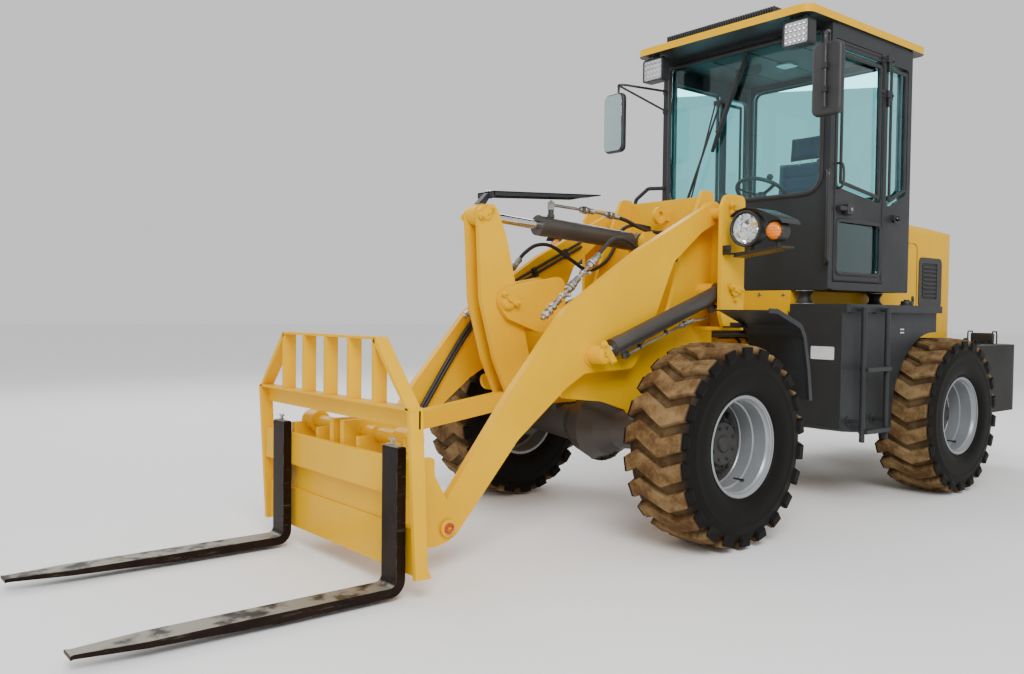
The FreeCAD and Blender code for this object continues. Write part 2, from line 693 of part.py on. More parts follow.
def arm(name, side):
    """A boom arm cut from plate, with bosses at its pins."""
    piece = Piece(name)
    outline = [
        (-513, 1910, 60), (152, 1581, 300), (709, 1241, 260), (1066, 836, 200), (1454, 342, 80),
        (1562, 225, 70), (1500, 135, 70), (1400, 160, 60), (1017, 589, 200), (690, 835, 120),
        (560, 905, 60), (180, 920, 90), (18, 1191, 200), (-146, 1527, 80), (-395, 1716, 200),
        (-583, 1800, 70), (-560, 1900, 60),
    ]
    y_low, y_high = span(dims.arm_inner, dims.arm_inner + dims.arm_plate, side)
    piece.slab("XZ", y_low, y_high, outline)
    boss_low, boss_high = span(dims.arm_inner - 18, dims.arm_inner, side)
    for x, z, radius in ((dims.boom_x, dims.boom_z, 68), (dims.tip_x, dims.tip_z, 62)):
        piece.slab("XZ", boss_low, boss_high, ring(x, z, radius))
    boss_low, boss_high = span(dims.arm_inner + dims.arm_plate, LIFT_Y - dims.lift_eye / 2 - 3, side)
    piece.slab("XZ", boss_low, boss_high, ring(dims.lift_eye_x, dims.lift_eye_z, 62))
    reach = span(dims.arm_inner - 60, LIFT_Y, side)
    bores = ((dims.boom_x, dims.boom_z, dims.pin_radius), (dims.tip_x, dims.tip_z, dims.pin_radius))
    for x, z, radius in bores:
        piece.bore((x, reach[0], z), (x, reach[1], z), radius + dims.gap_pin)
    return piece.done()


def boom_crossmember():
    """The torsion tube between the arms with the two bellcrank brackets."""
    piece = Piece("boom_crossmember")
    tube_x, tube_z = dims.cross_x, dims.cross_z
    piece.rod((tube_x, 0 - dims.arm_inner, tube_z), (tube_x, dims.arm_inner, tube_z), dims.cross_radius)
    inner = dims.crank_y + dims.crank_plate / 2 + 4
    bracket = [
        (tube_x - 60, tube_z - 50, 40), (tube_x - 45, 1436, 50), (788, 1369, 80),
        (dims.crank_x + 92, dims.crank_z + 20, 70), (dims.crank_x, dims.crank_z - 95, 80),
        (600, 1120, 90), (tube_x + 60, tube_z - 75, 30),
    ]
    for name, side in SIDES:
        piece.slab("XZ", *span(inner, inner + dims.crank_plate, side), bracket)
    y_low, y_high = 0 - inner - 60, inner + 60
    piece.bore((dims.crank_x, y_low, dims.crank_z), (dims.crank_x, y_high, dims.crank_z),
               dims.pin_radius + dims.gap_pin)
    return piece.done()


def pin(name, x, z, half_length, radius, head):
    """A cross pin with a round head plate at each end."""
    piece = Piece(name)
    piece.rod((x, 0 - half_length, z), (x, half_length, z), radius)
    for side_name, side in SIDES:
        piece.slab("XZ", *span(half_length, half_length + 10, side), ring(x, z, head))
    return piece.done()


def tip_pins():
    """The two pins that carry the quick hitch on the boom tips."""
    piece = Piece("tip_pins")
    for name, side in SIDES:
        y_low, y_high = span(dims.arm_inner - 26, HITCH_INNER + dims.hitch_plate + 8, side)
        piece.rod((dims.tip_x, y_low, dims.tip_z), (dims.tip_x, y_high, dims.tip_z), dims.pin_radius)
        y_low, y_high = span(dims.arm_inner - 36, dims.arm_inner - 22, side)
        piece.rod((dims.tip_x, y_low, dims.tip_z), (dims.tip_x, y_high, dims.tip_z), 48)
    return piece.done()


def bellcrank():
    """Two curved plates that pass the tilt cylinder's push down to the tilt link."""
    piece = Piece("bellcrank")
    outline = [
        (1000, 1805, 58), (985, 1600, 400), (968, 1289, 300), (870, 960, 300), (752, 720, 60),
        (640, 672, 60), (606, 800, 80), (625, 980, 200), (735, 1392, 300), (800, 1640, 200),
        (872, 1800, 60),
    ]
    middle, plate = dims.crank_y, dims.crank_plate
    for name, side in SIDES:
        piece.slab("XZ", *span(middle - plate / 2, middle + plate / 2, side), outline)
    reach = middle + plate
    for x, z, radius in ((dims.crank_x, dims.crank_z, dims.pin_radius),
                         (dims.crank_low_x, dims.crank_low_z, dims.small_pin)):
        piece.bore((x, 0 - reach, z), (x, reach, z), radius + dims.gap_pin)
    return piece.done()


def tilt_link():
    """The bar from the bellcrank down to the quick hitch."""
    piece = Piece("tilt_link")
    rear = (dims.crank_low_x, dims.crank_low_z)
    front = (dims.link_pin_x, dims.link_pin_z)
    half = dims.eye_width / 2
    for x, z in (rear, front):
        piece.slab("XZ", 0 - half, half, ring(x, z, dims.link_height / 2 + 0.5))
    along = V(float(front[0] - rear[0]), float(front[1] - rear[1]), 0).normalize()
    across = V(-along.y, along.x, 0) * float(dims.link_height / 2)
    first, last = V(float(rear[0]), float(rear[1]), 0), V(float(front[0]), float(front[1]), 0)
    bar = [first + across, last + across, last - across, first - across]
    piece.slab("XZ", 0 - half, half, [(corner.x, corner.y) for corner in bar])
    piece.bore((rear[0], 0 - dims.eye_width, rear[1]), (rear[0], dims.eye_width, rear[1]),
               dims.small_pin + dims.gap_pin)
    return piece.done()


# ---------------------------------------------------------------- cylinders

def barrel(name, base, end, sizes):
    """A cylinder barrel: base eye, slim neck, tube and gland, bored for its rod."""
    along = (point(end) - point(base)).normalize()
    foot = point(base)
    mouth = foot + along * float(sizes["gland"])
    piece = Piece(name)
    cross = sizes["cross"]
    half = float(sizes["eye"]) / 2
    shoulder = foot + along * sizes["shoulder"]
    piece.rod(foot - cross * half, foot + cross * half, sizes["eye_radius"])
    piece.rod(foot, shoulder + along * 10, sizes["neck"])
    piece.rod(shoulder, mouth, sizes["radius"])
    piece.rod(mouth - along * 70, mouth, sizes["radius"] + 3)
    piece.bore(mouth - along * float(sizes["depth"]), mouth + along, sizes["rod"] + dims.gap_pin)
    wide = cross * (half + 20)
    piece.bore(foot - wide, foot + wide, sizes["pin"] + dims.gap_pin)
    return piece


def rod(name, base, end, sizes):
    """A cylinder rod with its eye; the end pin is held in the eye."""
    along = (point(end) - point(base)).normalize()
    inner = point(base) + along * float(sizes["rod_start"])
    cross = sizes["cross"]
    half = float(sizes["eye"]) / 2
    piece = Piece(name)
    piece.rod(inner, point(end), sizes["rod"])
    piece.rod(point(end) - cross * half, point(end) + cross * half, sizes["eye_radius"])
    return piece


def lift_cylinder(side_name, side):
    """A lift cylinder outboard of its boom arm."""
    base = (dims.lift_base_x, LIFT_Y * side, dims.lift_base_z)
    end = (dims.lift_eye_x, LIFT_Y * side, dims.lift_eye_z)
    sizes = {
        "cross": V(0, 1, 0), "eye": dims.lift_eye, "eye_radius": 50, "pin": dims.small_pin,
        "radius": dims.lift_barrel_radius, "rod": dims.lift_rod_radius,
        "gland": dims.lift_gland, "depth": dims.lift_gland - 90, "rod_start": 130,
        "neck": 36, "shoulder": 56,
    }
    barrel("lift_barrel_" + side_name, base, end, sizes).done()
    rod("lift_rod_" + side_name, base, end, sizes).done()


def tilt_cylinder():
    """The tilt cylinder above the boom, its rod and the guard sheet that rides on it."""
    base = (dims.tilt_base_x, ZERO, dims.tilt_base_z)
    end = (dims.crank_top_x, ZERO, dims.crank_top_z)
    sizes = {
        "cross": V(0, 1, 0), "eye": dims.eye_width, "eye_radius": 58, "pin": dims.small_pin,
        "radius": dims.tilt_barrel_radius, "rod": dims.tilt_rod_radius,
        "gland": dims.tilt_gland, "depth": dims.tilt_gland - 125, "rod_start": 380,
        "neck": 29, "shoulder": 85,
    }
    barrel("tilt_barrel", base, end, sizes).done()
    rod("tilt_rod", base, end, sizes).done()
    guard = Piece("tilt_guard")
    low_z = dims.crank_top_z + 58 + dims.gap_seat
    line = [
        (dims.crank_top_x - 46, 1871), (90, 1921), (90, 1927), (dims.crank_top_x - 46, 1877),
    ]
    guard.slab("XZ", ZERO - 75, ZERO + 75, line)
    guard.slab("XZ", ZERO - 20, ZERO + 20, [
        (dims.crank_top_x - 30, low_z), (dims.crank_top_x + 20, low_z),
        (dims.crank_top_x - 46, 1872), (dims.crank_top_x - 76, 1875),
    ])
    guard.done()


def steering_cylinder():
    """The steering cylinder between the rear frame and the front frame."""
    base = (dims.steer_base_x, dims.steer_base_y, dims.steer_z)
    end = (dims.steer_eye_x, dims.steer_eye_y, dims.steer_z)
    sizes = {
        "cross": V(0, 0, 1), "eye": dims.steer_eye, "eye_radius": 42, "pin": dims.small_pin,
        "radius": dims.steer_barrel_radius, "rod": dims.steer_rod_radius,
        "gland": dims.steer_gland, "depth": dims.steer_gland - 95, "rod_start": 265,
        "neck": 24, "shoulder": 66,
    }
    barrel("steering_barrel", base, end, sizes).done()
    rod("steering_rod", base, end, sizes).done()


# ---------------------------------------------------------------- attachment

def quick_hitch():
    """The hitch frame: ears on the boom tips, a cross tube and the lugs of the tilt link."""
    piece = Piece("quick_hitch")
    inner, plate = HITCH_INNER, dims.hitch_plate
    back = dims.carriage_x - dims.carriage_depth - dims.gap_seat
    shelf = dims.beam_high + dims.gap_seat
    ear = [
        (back, 560), (1548, 554, 20), (1548, 474, 60), (1472, 338, 60), (1425, 262, 60),
        (1440, 160, 60), (1532, 140, 40), (back - dims.beam_step, 146),
        (back - dims.beam_step, shelf), (back, shelf),
    ]
    for name, side in SIDES:
        y_low, y_high = span(inner, inner + plate, side)
        piece.slab("XZ", y_low, y_high, ear)
        y_low, y_high = span(inner - 60, inner + plate + 12, side)
        piece.rod((1672, y_low, 640), (1672, y_high, 640), dims.hitch_disc)
        piece.slab("XZ", *span(inner, inner + plate, side), box(1630, back, 540, 640))
        y_low, y_high = span(dims.eye_width / 2 + 4, dims.eye_width / 2 + 34, side)
        lug = [
            (1700, 700, 30), (dims.link_pin_x, dims.link_pin_z + 66, 60),
            (dims.link_pin_x - 66, dims.link_pin_z, 60), (dims.link_pin_x, dims.link_pin_z - 70, 60),
            (1640, 420, 60), (back, shelf), (back, 700),
        ]
        piece.slab("XZ", y_low, y_high, lug)
        piece.slab("XZ", *span(190, 210, side), [
            (1672, 640), (1620, 420, 60), (back, shelf), (back, 640)])
    piece.rod((1672, 0 - inner, 640), (1672, inner, 640), 36)
    piece.slab("XZ", 0 - inner, inner, box(back - 20, back, shelf, 500))
    piece.slab("XZ", 0 - inner, inner, box(back - 90, back - 20, 330, 350))
    for name, side in SIDES:
        reach = span(inner - 20, inner + plate + 20, side)
        piece.bore((dims.tip_x, reach[0], dims.tip_z), (dims.tip_x, reach[1], dims.tip_z),
                   dims.pin_radius + dims.gap_pin)
    return piece.done()


def carriage():
    """The fork carriage: two cross beams, uprights and the open backrest."""
    piece = Piece("carriage")
    front = dims.carriage_x
    back = front - dims.carriage_depth
    bar = dims.carriage_bar
    rail = dims.carriage_rail
    for name, side in SIDES:
        y_low, y_high = span(dims.carriage_half - bar, dims.carriage_half, side)
        upright = [
            (back - 34, dims.carriage_low), (front - 37, dims.carriage_low), (front, rail),
            (back, rail),
        ]
        piece.slab("XZ", y_low, y_high, upright)
        # sloping flat from the shoulder up to the top rail
        slope = mirrored([
            (dims.carriage_half - bar, rail - 10), (dims.carriage_half, rail - 10),
            (dims.backrest_half, dims.carriage_top), (dims.backrest_half - bar, dims.carriage_top - 12),
        ], side)
        piece.slab("YZ", back, front, slope)
    half = dims.carriage_half
    piece.slab("XZ", 0 - half, half, box(back, front, rail, rail + 12))
    piece.slab("XZ", 0 - half, half, box(back + 10, back + 22, rail - 80, rail))
    top_half = dims.backrest_half
    piece.slab("XZ", 0 - top_half, top_half, box(back, front, dims.carriage_top - 12, dims.carriage_top))
    for index in range(5):
        y = 0 - top_half + (2 * top_half - bar) / 4 * index
        piece.slab("XZ", y, y + bar, box(back, front, rail, dims.carriage_top))
    piece.slab("XZ", 0 - half + bar, half - bar, box(back + 3, back + 38, 565, 725))
    piece.slab("XZ", 0 - half + bar, half - bar,
               box(back - dims.beam_step, back + 10, dims.beam_low, dims.beam_high))
    return piece.done()


def fork(name, centre):
    """An L-shaped pallet fork hung on the carriage beams."""
    piece = Piece(name)
    heel = dims.carriage_x - dims.carriage_depth + 38 + dims.gap_seat
    face = heel + dims.fork_thick
    base = dims.fork_base
    blade = base + dims.fork_blade
    tip_base = base + dims.fork_taper
    outline = [
        (heel, dims.fork_top, 12), (face, dims.fork_top, 12), (face, blade, 30),
        (dims.fork_reach, blade, 4), (dims.fork_reach, tip_base, 4), (face + 500, base, 300),
        (heel, base, 70),
    ]
    half = dims.fork_width / 2
    piece.slab("XZ", centre - half, centre + half, outline)
    tip = [
        (dims.fork_reach + 1, centre - half - 1), (dims.fork_reach + 1, centre - half + 30, 20),
        (dims.fork_reach - 260, centre - half - 1),
    ]
    other = [
        (dims.fork_reach + 1, centre + half + 1), (dims.fork_reach + 1, centre + half - 30, 20),
        (dims.fork_reach - 260, centre + half + 1),
    ]
    piece.cut("XY", base - 10, base + 80, tip)
    piece.cut("XY", base - 10, base + 80, other)
    return piece.done()


# ---------------------------------------------------------------- rear body

def rear_frame():
    """Side plates from the hinge back to the counterweight, with the axle's trunnion plates."""
    piece = Piece("rear_frame")
    front, low, high = -1480, dims.frame_low, dims.hood_low - dims.gap_seat
    plate = dims.tower_plate
    tail = HOOD_REAR - 3 + dims.gap_seat
    side_line = [
        (front, high), (front, dims.hinge_low - 40, 60), (REAR_AXLE + 577, 600, 100),
        (REAR_AXLE + 277, 700, 80), (REAR_AXLE - 273, 700, 80), (REAR_AXLE - 373, low, 80),
        (tail, low), (tail, high),
    ]
    for name, side in SIDES:
        piece.slab("XZ", *span(dims.frame_half - plate, dims.frame_half, side), side_line)
    inner = dims.frame_half - plate
    piece.slab("XY", dims.hinge_low - 20, high, box(front - plate, front, 0 - inner, inner))
    # window and slots that the steering cylinder swings in
    slot_low, slot_high = dims.steer_z - 55, dims.steer_z + 55
    piece.cut("YZ", front - plate - 5, front + 5, box(0 - inner, -110, slot_low, slot_high))
    piece.cut("XZ", 0 - dims.frame_half - 5, dims.frame_half + 5,
              box(dims.steer_base_x + 65, front + 5, slot_low, slot_high))
    for middle in (-1, 1):
        x = 0 - dims.wheelbase + (dims.trunnion_reach + dims.trunnion_plate / 2) * middle
        half = dims.trunnion_plate / 2
        hanger = [
            (0 - inner, 820), (0 - inner, 730), (-110, 430, 60), (110, 430, 60), (inner, 730),
            (inner, 820),
        ]
        piece.slab("YZ", x - half, x + half, hanger)
        piece.bore((x - 60, 0, dims.tyre_radius), (x + 60, 0, dims.tyre_radius),
                   dims.trunnion_radius + dims.gap_pin)
    # clevis lugs above and below each lug of the front frame
    for low_z in (dims.hinge_low, dims.hinge_high):
        for z in (low_z - dims.gap_hinge - 25, low_z + dims.hinge_plate + dims.gap_hinge):
            lug = [
                (front - 10, -210), (front - 10, 210), (0 - dims.pivot_back - 60, 105, 60),
                (0 - dims.pivot_back + 100, 105, 100), (0 - dims.pivot_back + 100, -105, 100),
                (0 - dims.pivot_back - 60, -105, 60),
            ]
            piece.slab("XY", z, z + 25, lug)
        piece.rod((0 - dims.pivot_back, 0, low_z - dims.gap_hinge - 30),
                  (0 - dims.pivot_back, 0, low_z + dims.hinge_plate + dims.gap_hinge + 30),
                  dims.hinge_pin)
    # ear of the steering cylinder
    for offset in (-1, 1):
        z_low = dims.steer_z + offset * (dims.steer_eye / 2 + 13) - 10
        ear = [
            (dims.steer_base_x - 60, 0 - inner), (dims.steer_base_x + 60, 0 - inner),
            (dims.steer_base_x + 40, dims.steer_base_y, 30),
            (dims.steer_base_x, dims.steer_base_y + 42, 30),
            (dims.steer_base_x - 40, dims.steer_base_y, 30),
        ]
        piece.slab("XY", z_low, z_low + 20, ear)
    z_reach = dims.steer_eye / 2 + 24
    piece.rod((dims.steer_base_x, dims.steer_base_y, dims.steer_z - z_reach),
              (dims.steer_base_x, dims.steer_base_y, dims.steer_z + z_reach), dims.small_pin)
    # outriggers under the step boxes, and the cab mounts
    for name, side in SIDES:
        for x in (-1600, -1850):
            y_low, y_high = span(dims.frame_half, dims.step_inner - dims.gap_seat, side)
            piece.slab("XZ", y_low, y_high, box(x - 20, x + 20, 700, 1000))
    # notch in the right outrigger for the steering cylinder at full lock
    piece.cut("XY", slot_low, slot_high,
              box(-1625, -1575, 0 - dims.frame_half - 60, 0 - dims.frame_half))
    for name, side in SIDES:
        for x in (-1460, -2300):
            y_low, y_high = span(dims.frame_half - 60, dims.frame_half, side)
            piece.slab("XY", high, dims.cab_floor - dims.gap_seat, box(x - 30, x + 30, y_low, y_high))
    return piece.done()


def engine_block():
    """The engine as one plain block at its place under the hood."""
    piece = Piece("engine_block")
    front = 0 - dims.wheelbase - dims.trunnion_reach - dims.trunnion_plate - 20
    piece.slab("XY", 700, 1640, box(REAR_AXLE - dims.engine_rear, front, -240, 240))
    for name, side in SIDES:
        y_low, y_high = span(240, dims.frame_half - dims.tower_plate - dims.gap_seat, side)
        for x in (REAR_AXLE - dims.engine_heel, REAR_AXLE - dims.engine_foot):
            piece.slab("XZ", y_low, y_high, box(x - 40, x + 40, 820, 860))
    return piece.done()


def hood_solid(name, inset):
    """The hood's outer form, or its inside when inset by the sheet's thickness."""
    rear, front = HOOD_REAR + inset, dims.hood_front
    half, top = dims.hood_half - inset, dims.hood_top - inset
    low = dims.hood_low - (10 if float(inset) else 0)
    plan = Piece(name + "_plan")
    plan.slab("XY", low, top, [
        (front, 0 - half), (front, half), (rear, half, 240), (rear, 0 - half, 240)])
    side = Piece(name + "_side")
    side.slab("XZ", 0 - half, half, [
        (front, low), (front, top), (REAR_AXLE - dims.hood_bend, top, 300), (rear, top - 60, 200),
        (rear, low)])
    section = Piece(name + "_section")
    section.slab("YZ", rear, front, [
        (0 - half, low), (0 - half, top, 70), (half, top, 70), (half, low)])
    common = doc.addObject("Part::MultiCommon", name)
    common.Shapes = [plan.body, side.body, section.body]
    return common


def hood():
    """The engine hood: a sheet shell with grille openings in its sides."""
    shell = doc.addObject("Part::Cut", "hood_shell")
    shell.Base = hood_solid("hood_outside", ZERO)
    shell.Tool = hood_solid("hood_inside", dims.hood_skin)
    opening = Piece("hood_openings")
    opening.slab("XZ", 0 - dims.hood_half - 20, dims.hood_half + 20, grille_box(0))
    cut = doc.addObject("Part::Cut", "hood")
    cut.Base = shell
    cut.Tool = opening.body
    cut.Label = "hood"
    return placing(cut)


def grille_box(inset):
    """The rectangle of a side grille, smaller by inset on every edge."""
    rear, front = REAR_AXLE - dims.grille_rear + inset, REAR_AXLE - dims.grille_front - inset
    return box(rear, front, 1360 + inset, 1662 - inset, 20 - inset)


def hood_grilles():
    """Louvred grilles that fill the openings in the hood's sides."""
    piece = Piece("hood_grilles")
    outer, skin = dims.hood_half, dims.hood_skin
    rear, front = REAR_AXLE - dims.grille_rear + 20, REAR_AXLE - dims.grille_front - 20
    for name, side in SIDES:
        piece.slab("XZ", *span(outer - skin, outer, side), grille_box(dims.gap_seat))
        for index in range(8):
            z = 1385 + 33 * index
            piece.slab("XZ", *span(outer, outer + 8, side), box(rear, front, z, z + 16))
    return piece.done()


def counterweight():
    """A cast counterweight round the frame's tail, with a lug and the tow pin's slot."""
    piece = Piece("counterweight")
    half, rear, front = dims.weight_half, MACHINE_REAR, WEIGHT_FRONT
    well = dims.hood_half + 8
    plan = [
        (rear, 0 - half, 160), (rear, half, 160), (front, half, 60), (front, well),
        (HOOD_REAR - 3, well, 20), (HOOD_REAR - 3, 0 - well, 20), (front, 0 - well),
        (front, 0 - half, 60),
    ]
    piece.slab("XY", dims.weight_low, dims.weight_top, plan)
    piece.slab("XY", dims.weight_top, dims.weight_top + 100, box(rear + 110, rear + 200, -180, 180, 30))
    piece.cut("XZ", 0 - half - 10, half + 10, [
        (front + 1, dims.weight_low - 1), (front + 1, dims.weight_low + 180),
        (front - 240, dims.weight_low - 1)])
    piece.cut("XY", 620, 700, box(rear - 10, rear + 130, -90, 90))
    piece.bore((rear + 70, 0, 560), (rear + 70, 0, dims.weight_top + 1), dims.tow_pin_radius)
    return piece.done()


def steps(name, side):
    """A tank box with its platform over the tyre and the ladder in front of it."""
    piece = Piece(name)
    front, inner, outer = dims.step_front, dims.step_inner, dims.step_outer
    low = dims.platform_top - 50
    # the rear edge runs round the tyre at an even distance
    hub_x, hub_z, clear = 0 - dims.wheelbase, dims.tyre_radius, dims.tyre_radius + 35
    corner = clear * math.tan(math.radians(22.5))
    tail = hub_x - dims.platform_rear
    side_line = [
        (front, low), (front, 500, 40), (hub_x + clear, 440, 40),
        (hub_x + clear, hub_z + corner, clear * 0.98), (hub_x + corner, hub_z + clear, clear * 0.98),
        (tail, hub_z + clear), (tail, low),
    ]
    piece.slab("XZ", *span(inner, outer, side), side_line)
    y_low, y_high = span(inner, dims.platform_edge, side)
    piece.slab("XY", low, dims.platform_top, box(tail, front, y_low, y_high, 25))
    stile_y = 950 * side
    for x in (-1360, -1648):
        piece.rod((x, stile_y, 440), (x, stile_y, 1275), 17)
        for z in (560, 1268):
            piece.rod((x, stile_y, z), (x, (outer - 5) * side, z), 14)
    for z in (500, 890):
        piece.slab("XY", z - 12, z + 12, box(-1648, -1360, *span(925, 985, side)))
    return piece.done()


# ---------------------------------------------------------------- cab

def cab_floor():
    """The cab floor between the cab walls, on rubber mounts."""
    piece = Piece("cab_floor")
    wall = dims.cab_wall
    half = dims.cab_half - wall
    piece.slab("XY", dims.cab_floor, dims.cab_floor + 60,
               box(dims.cab_rear + wall, dims.cab_front - wall, 0 - half, half))
    return piece.done()


def window(outline, inset):
    """A window outline made smaller all round by inset; corners keep their radius."""
    us = [float(corner[0]) for corner in outline]
    vs = [float(corner[1]) for corner in outline]
    middle_u, middle_v = (min(us) + max(us)) / 2, (min(vs) + max(vs)) / 2
    moved = []
    for corner in outline:
        u = corner[0] + (inset if float(corner[0]) < middle_u else 0 - inset)
        v = corner[1] + (inset if float(corner[1]) < middle_v else 0 - inset)
        moved.append((u, v) + tuple(corner[2:]))
    return moved


def windscreen_line():
    half = dims.cab_half - 62
    return [(0 - half, dims.sill_height, 120), (half, dims.sill_height, 120), (half, 3065, 40),
            (0 - half, 3065, 40)]


def rear_window_line():
    half = dims.cab_half - 90
    return [(0 - half, 2090, 60), (half, 2090, 60), (half, 3030, 60), (0 - half, 3030, 60)]


def quarter_line():
    """The fixed side window behind the door."""
    return [(-2334, 2090, 40), (-2052, 1965, 40), (-2052, 2960, 30), (-2334, 2960, 30)]


def side_window_line():
    """The large fixed window in the right side."""
    return [(-1990, 2030, 40), (-1415, 2030, 40), (-1415, 2968, 30), (-1990, 2968, 30)]


def cab_front():
    """The front wall: lower panel, posts and header round the windscreen."""
    piece = Piece("cab_front")
    half, wall = dims.cab_half, dims.cab_wall
    panel = box(0 - half, half, dims.cab_floor, dims.post_top, 12)
    piece.slab("YZ", dims.cab_front - wall, dims.cab_front, panel)
    piece.cut("YZ", dims.cab_front - wall - 10, dims.cab_front + 10, windscreen_line())
    return piece.done()


def cab_rear():
    """The rear wall with its window."""
    piece = Piece("cab_rear")
    half, wall = dims.cab_half, dims.cab_wall
    panel = box(0 - half, half, dims.cab_floor, dims.post_top, 12)
    piece.slab("YZ", dims.cab_rear, dims.cab_rear + wall, panel)
    piece.cut("YZ", dims.cab_rear - 10, dims.cab_rear + wall + 10, rear_window_line())
    return piece.done()


def cab_left():
    """The left side: rear panel and the frame round the door opening."""
    piece = Piece("cab_left")
    half, wall = dims.cab_half, dims.cab_wall
    back, front = dims.cab_rear + wall, dims.cab_front - wall
    frame = [
        (back, dims.cab_floor), (front, dims.cab_floor), (front, dims.door_low - dims.gap_run),
        (dims.door_rear, dims.door_low - dims.gap_run), (dims.door_rear, dims.door_top + dims.gap_run),
        (front, dims.door_top + dims.gap_run), (front, dims.post_top), (back, dims.post_top),
    ]
    piece.slab("XZ", half - wall, half, frame)
    piece.cut("XZ", half - wall - 10, half + 10, quarter_line())
    for z in (dims.hinge_one, dims.hinge_two):
        piece.rod((dims.door_rear - 18, half + 14, z - 60), (dims.door_rear - 18, half + 14, z - 3), 14)
        piece.rod((dims.door_rear - 18, half + 14, z - 60), (dims.door_rear - 18, half + 14, z + 50), 7)
    return piece.done()


def cab_right():
    """The right side: one fixed panel with two windows."""
    piece = Piece("cab_right")
    half, wall = dims.cab_half, dims.cab_wall
    back, front = dims.cab_rear + wall, dims.cab_front - wall
    piece.slab("XZ", 0 - half, wall - half, box(back, front, dims.cab_floor, dims.post_top))
    piece.cut("XZ", 0 - half - 10, wall - half + 10, quarter_line())
    piece.cut("XZ", 0 - half - 10, wall - half + 10, side_window_line())
    return piece.done()


def cab_roof():
    """The roof panel, wider than the cab and rounded at its edges."""
    piece = Piece("cab_roof")
    half = ROOF_HALF
    low, high = dims.post_top + dims.gap_seat, dims.roof_top
    piece.slab("XY", low, high, box(dims.roof_rear, dims.roof_front, 0 - half, half, 70))
    return piece.done()


def roof_unit():
    """The louvred ventilation unit on the roof."""
    piece = Piece("roof_unit")
    low = dims.roof_top + dims.gap_seat
    piece.slab("XZ", -450, 450, [
        (-1080, low), (-1110, low + 44, 20), (-1900, low + 44, 30), (-1960, low)])
    return piece.done()


def cab_glass():
    """The fixed panes: windscreen, rear window, quarter windows and right window."""
    piece = Piece("cab_glass")
    half, wall, thick, gap = dims.cab_half, dims.cab_wall, dims.glass_thick, dims.gap_seat
    x = dims.cab_front - wall / 2
    piece.slab("YZ", x - thick / 2, x + thick / 2, window(windscreen_line(), gap))
    x = dims.cab_rear + wall / 2
    piece.slab("YZ", x - thick / 2, x + thick / 2, window(rear_window_line(), gap))
    for name, side in SIDES:
        y_low, y_high = span(half - wall / 2 - thick / 2, half - wall / 2 + thick / 2, side)
        piece.slab("XZ", y_low, y_high, window(quarter_line(), gap))
    piece.slab("XZ", y_low, y_high, window(side_window_line(), gap))
    return piece.done()


def door_line():
    """The outline of the door in side view."""
    back, front = dims.door_rear + dims.gap_run, dims.cab_front - dims.cab_wall - dims.gap_run
    return box(back, front, dims.door_low, dims.door_top, 12)


def door_windows():
    """The upper and the lower window of the door."""
    upper = [(-1985, 1990, 40), (-1430, 2060, 40), (-1430, 2955, 40), (-1985, 2955, 40)]
    lower = [(-1985, 1500, 40), (-1430, 1500, 40), (-1430, 1850, 40), (-1985, 1850, 40)]
    return upper, lower


def cab_door():
    """The left door, hung at its rear edge, with its latch handle."""
    piece = Piece("cab_door")
    half, wall = dims.cab_half, dims.cab_wall
    piece.slab("XZ", half - wall, half, door_line())
    for pane in door_windows():
        piece.cut("XZ", half - wall - 10, half + 10, pane)
    for z in (dims.hinge_one, dims.hinge_two):
        piece.slab("XY", z, z + 45, box(dims.door_rear + 8, dims.door_rear + 70, half, half + 8))
        piece.rod((dims.door_rear - 18, half + 14, z), (dims.door_rear - 18, half + 14, z + 45), 14)
        piece.slab("XY", z, z + 45, box(dims.door_rear - 18, dims.door_rear + 12, half + 8, half + 20))
        piece.bore((dims.door_rear - 18, half + 14, z - 10), (dims.door_rear - 18, half + 14, z + 60),
                   7 + dims.gap_pin)
    piece.slab("XY", 1905, 1937, box(-1560, -1425, half, half + 30, 8))
    return piece.done()


def door_glass():
    """The two panes of the door."""
    piece = Piece("door_glass")
    middle, thick = dims.cab_half - dims.cab_wall / 2, dims.glass_thick
    for pane in door_windows():
        piece.slab("XZ", middle - thick / 2, middle + thick / 2, window(pane, dims.gap_seat))
    return piece.done()


def seat_base():
    """The sprung base of the driver's seat with its armrests."""
    piece = Piece("seat_base")
    floor = dims.cab_floor + 60 + dims.gap_seat
    piece.slab("XY", floor, floor + 180, box(-2180, -1860, -200, 200, 30))
    piece.slab("XY", floor + 180, floor + 230, box(-2210, -1830, -250, 250, 30))
    for name, side in SIDES:
        piece.slab("XY", floor + 230, floor + 262, box(-2140, -2060, *span(238, 250, side)))
        piece.slab("XZ", *span(238, 290, side), [
            (-2140, floor + 262), (-2140, floor + 430), (-1830, floor + 430, 10),
            (-1830, floor + 470, 10), (-2180, floor + 470, 10), (-2180, floor + 262)])
    return piece.done()


def seat_cushions():
    """Seat cushion, back cushion and head restraint."""
    piece = Piece("seat_cushions")
    floor = dims.cab_floor + 60 + 230 + 2 * dims.gap_seat
    piece.slab("YZ", -2150, -1790, box(-235, 235, floor, floor + 120, 45))
    seam = floor + 120 + dims.gap_seat
    back = [
        (-2130, seam), (-2060, seam, 20), (-2110, floor + 640, 45), (-2215, floor + 640, 45),
        (-2180, seam, 20),
    ]
    piece.slab("XZ", -225, 225, back)
    head = [
        (-2120, floor + 655, 20), (-2130, floor + 830, 30), (-2220, floor + 830, 30),
        (-2210, floor + 655, 20),
    ]
    piece.slab("XZ", -130, 130, head)
    piece.rod((-2165, 0, floor + 600), (-2168, 0, floor + 700), 10)
    return piece.done()


WHEEL_TILT = V(-0.5, 0, 0.866)


def wheel_seat():
    """The top of the steering column, where the wheel's hub sits."""
    return point((-1600, 0, 2060))


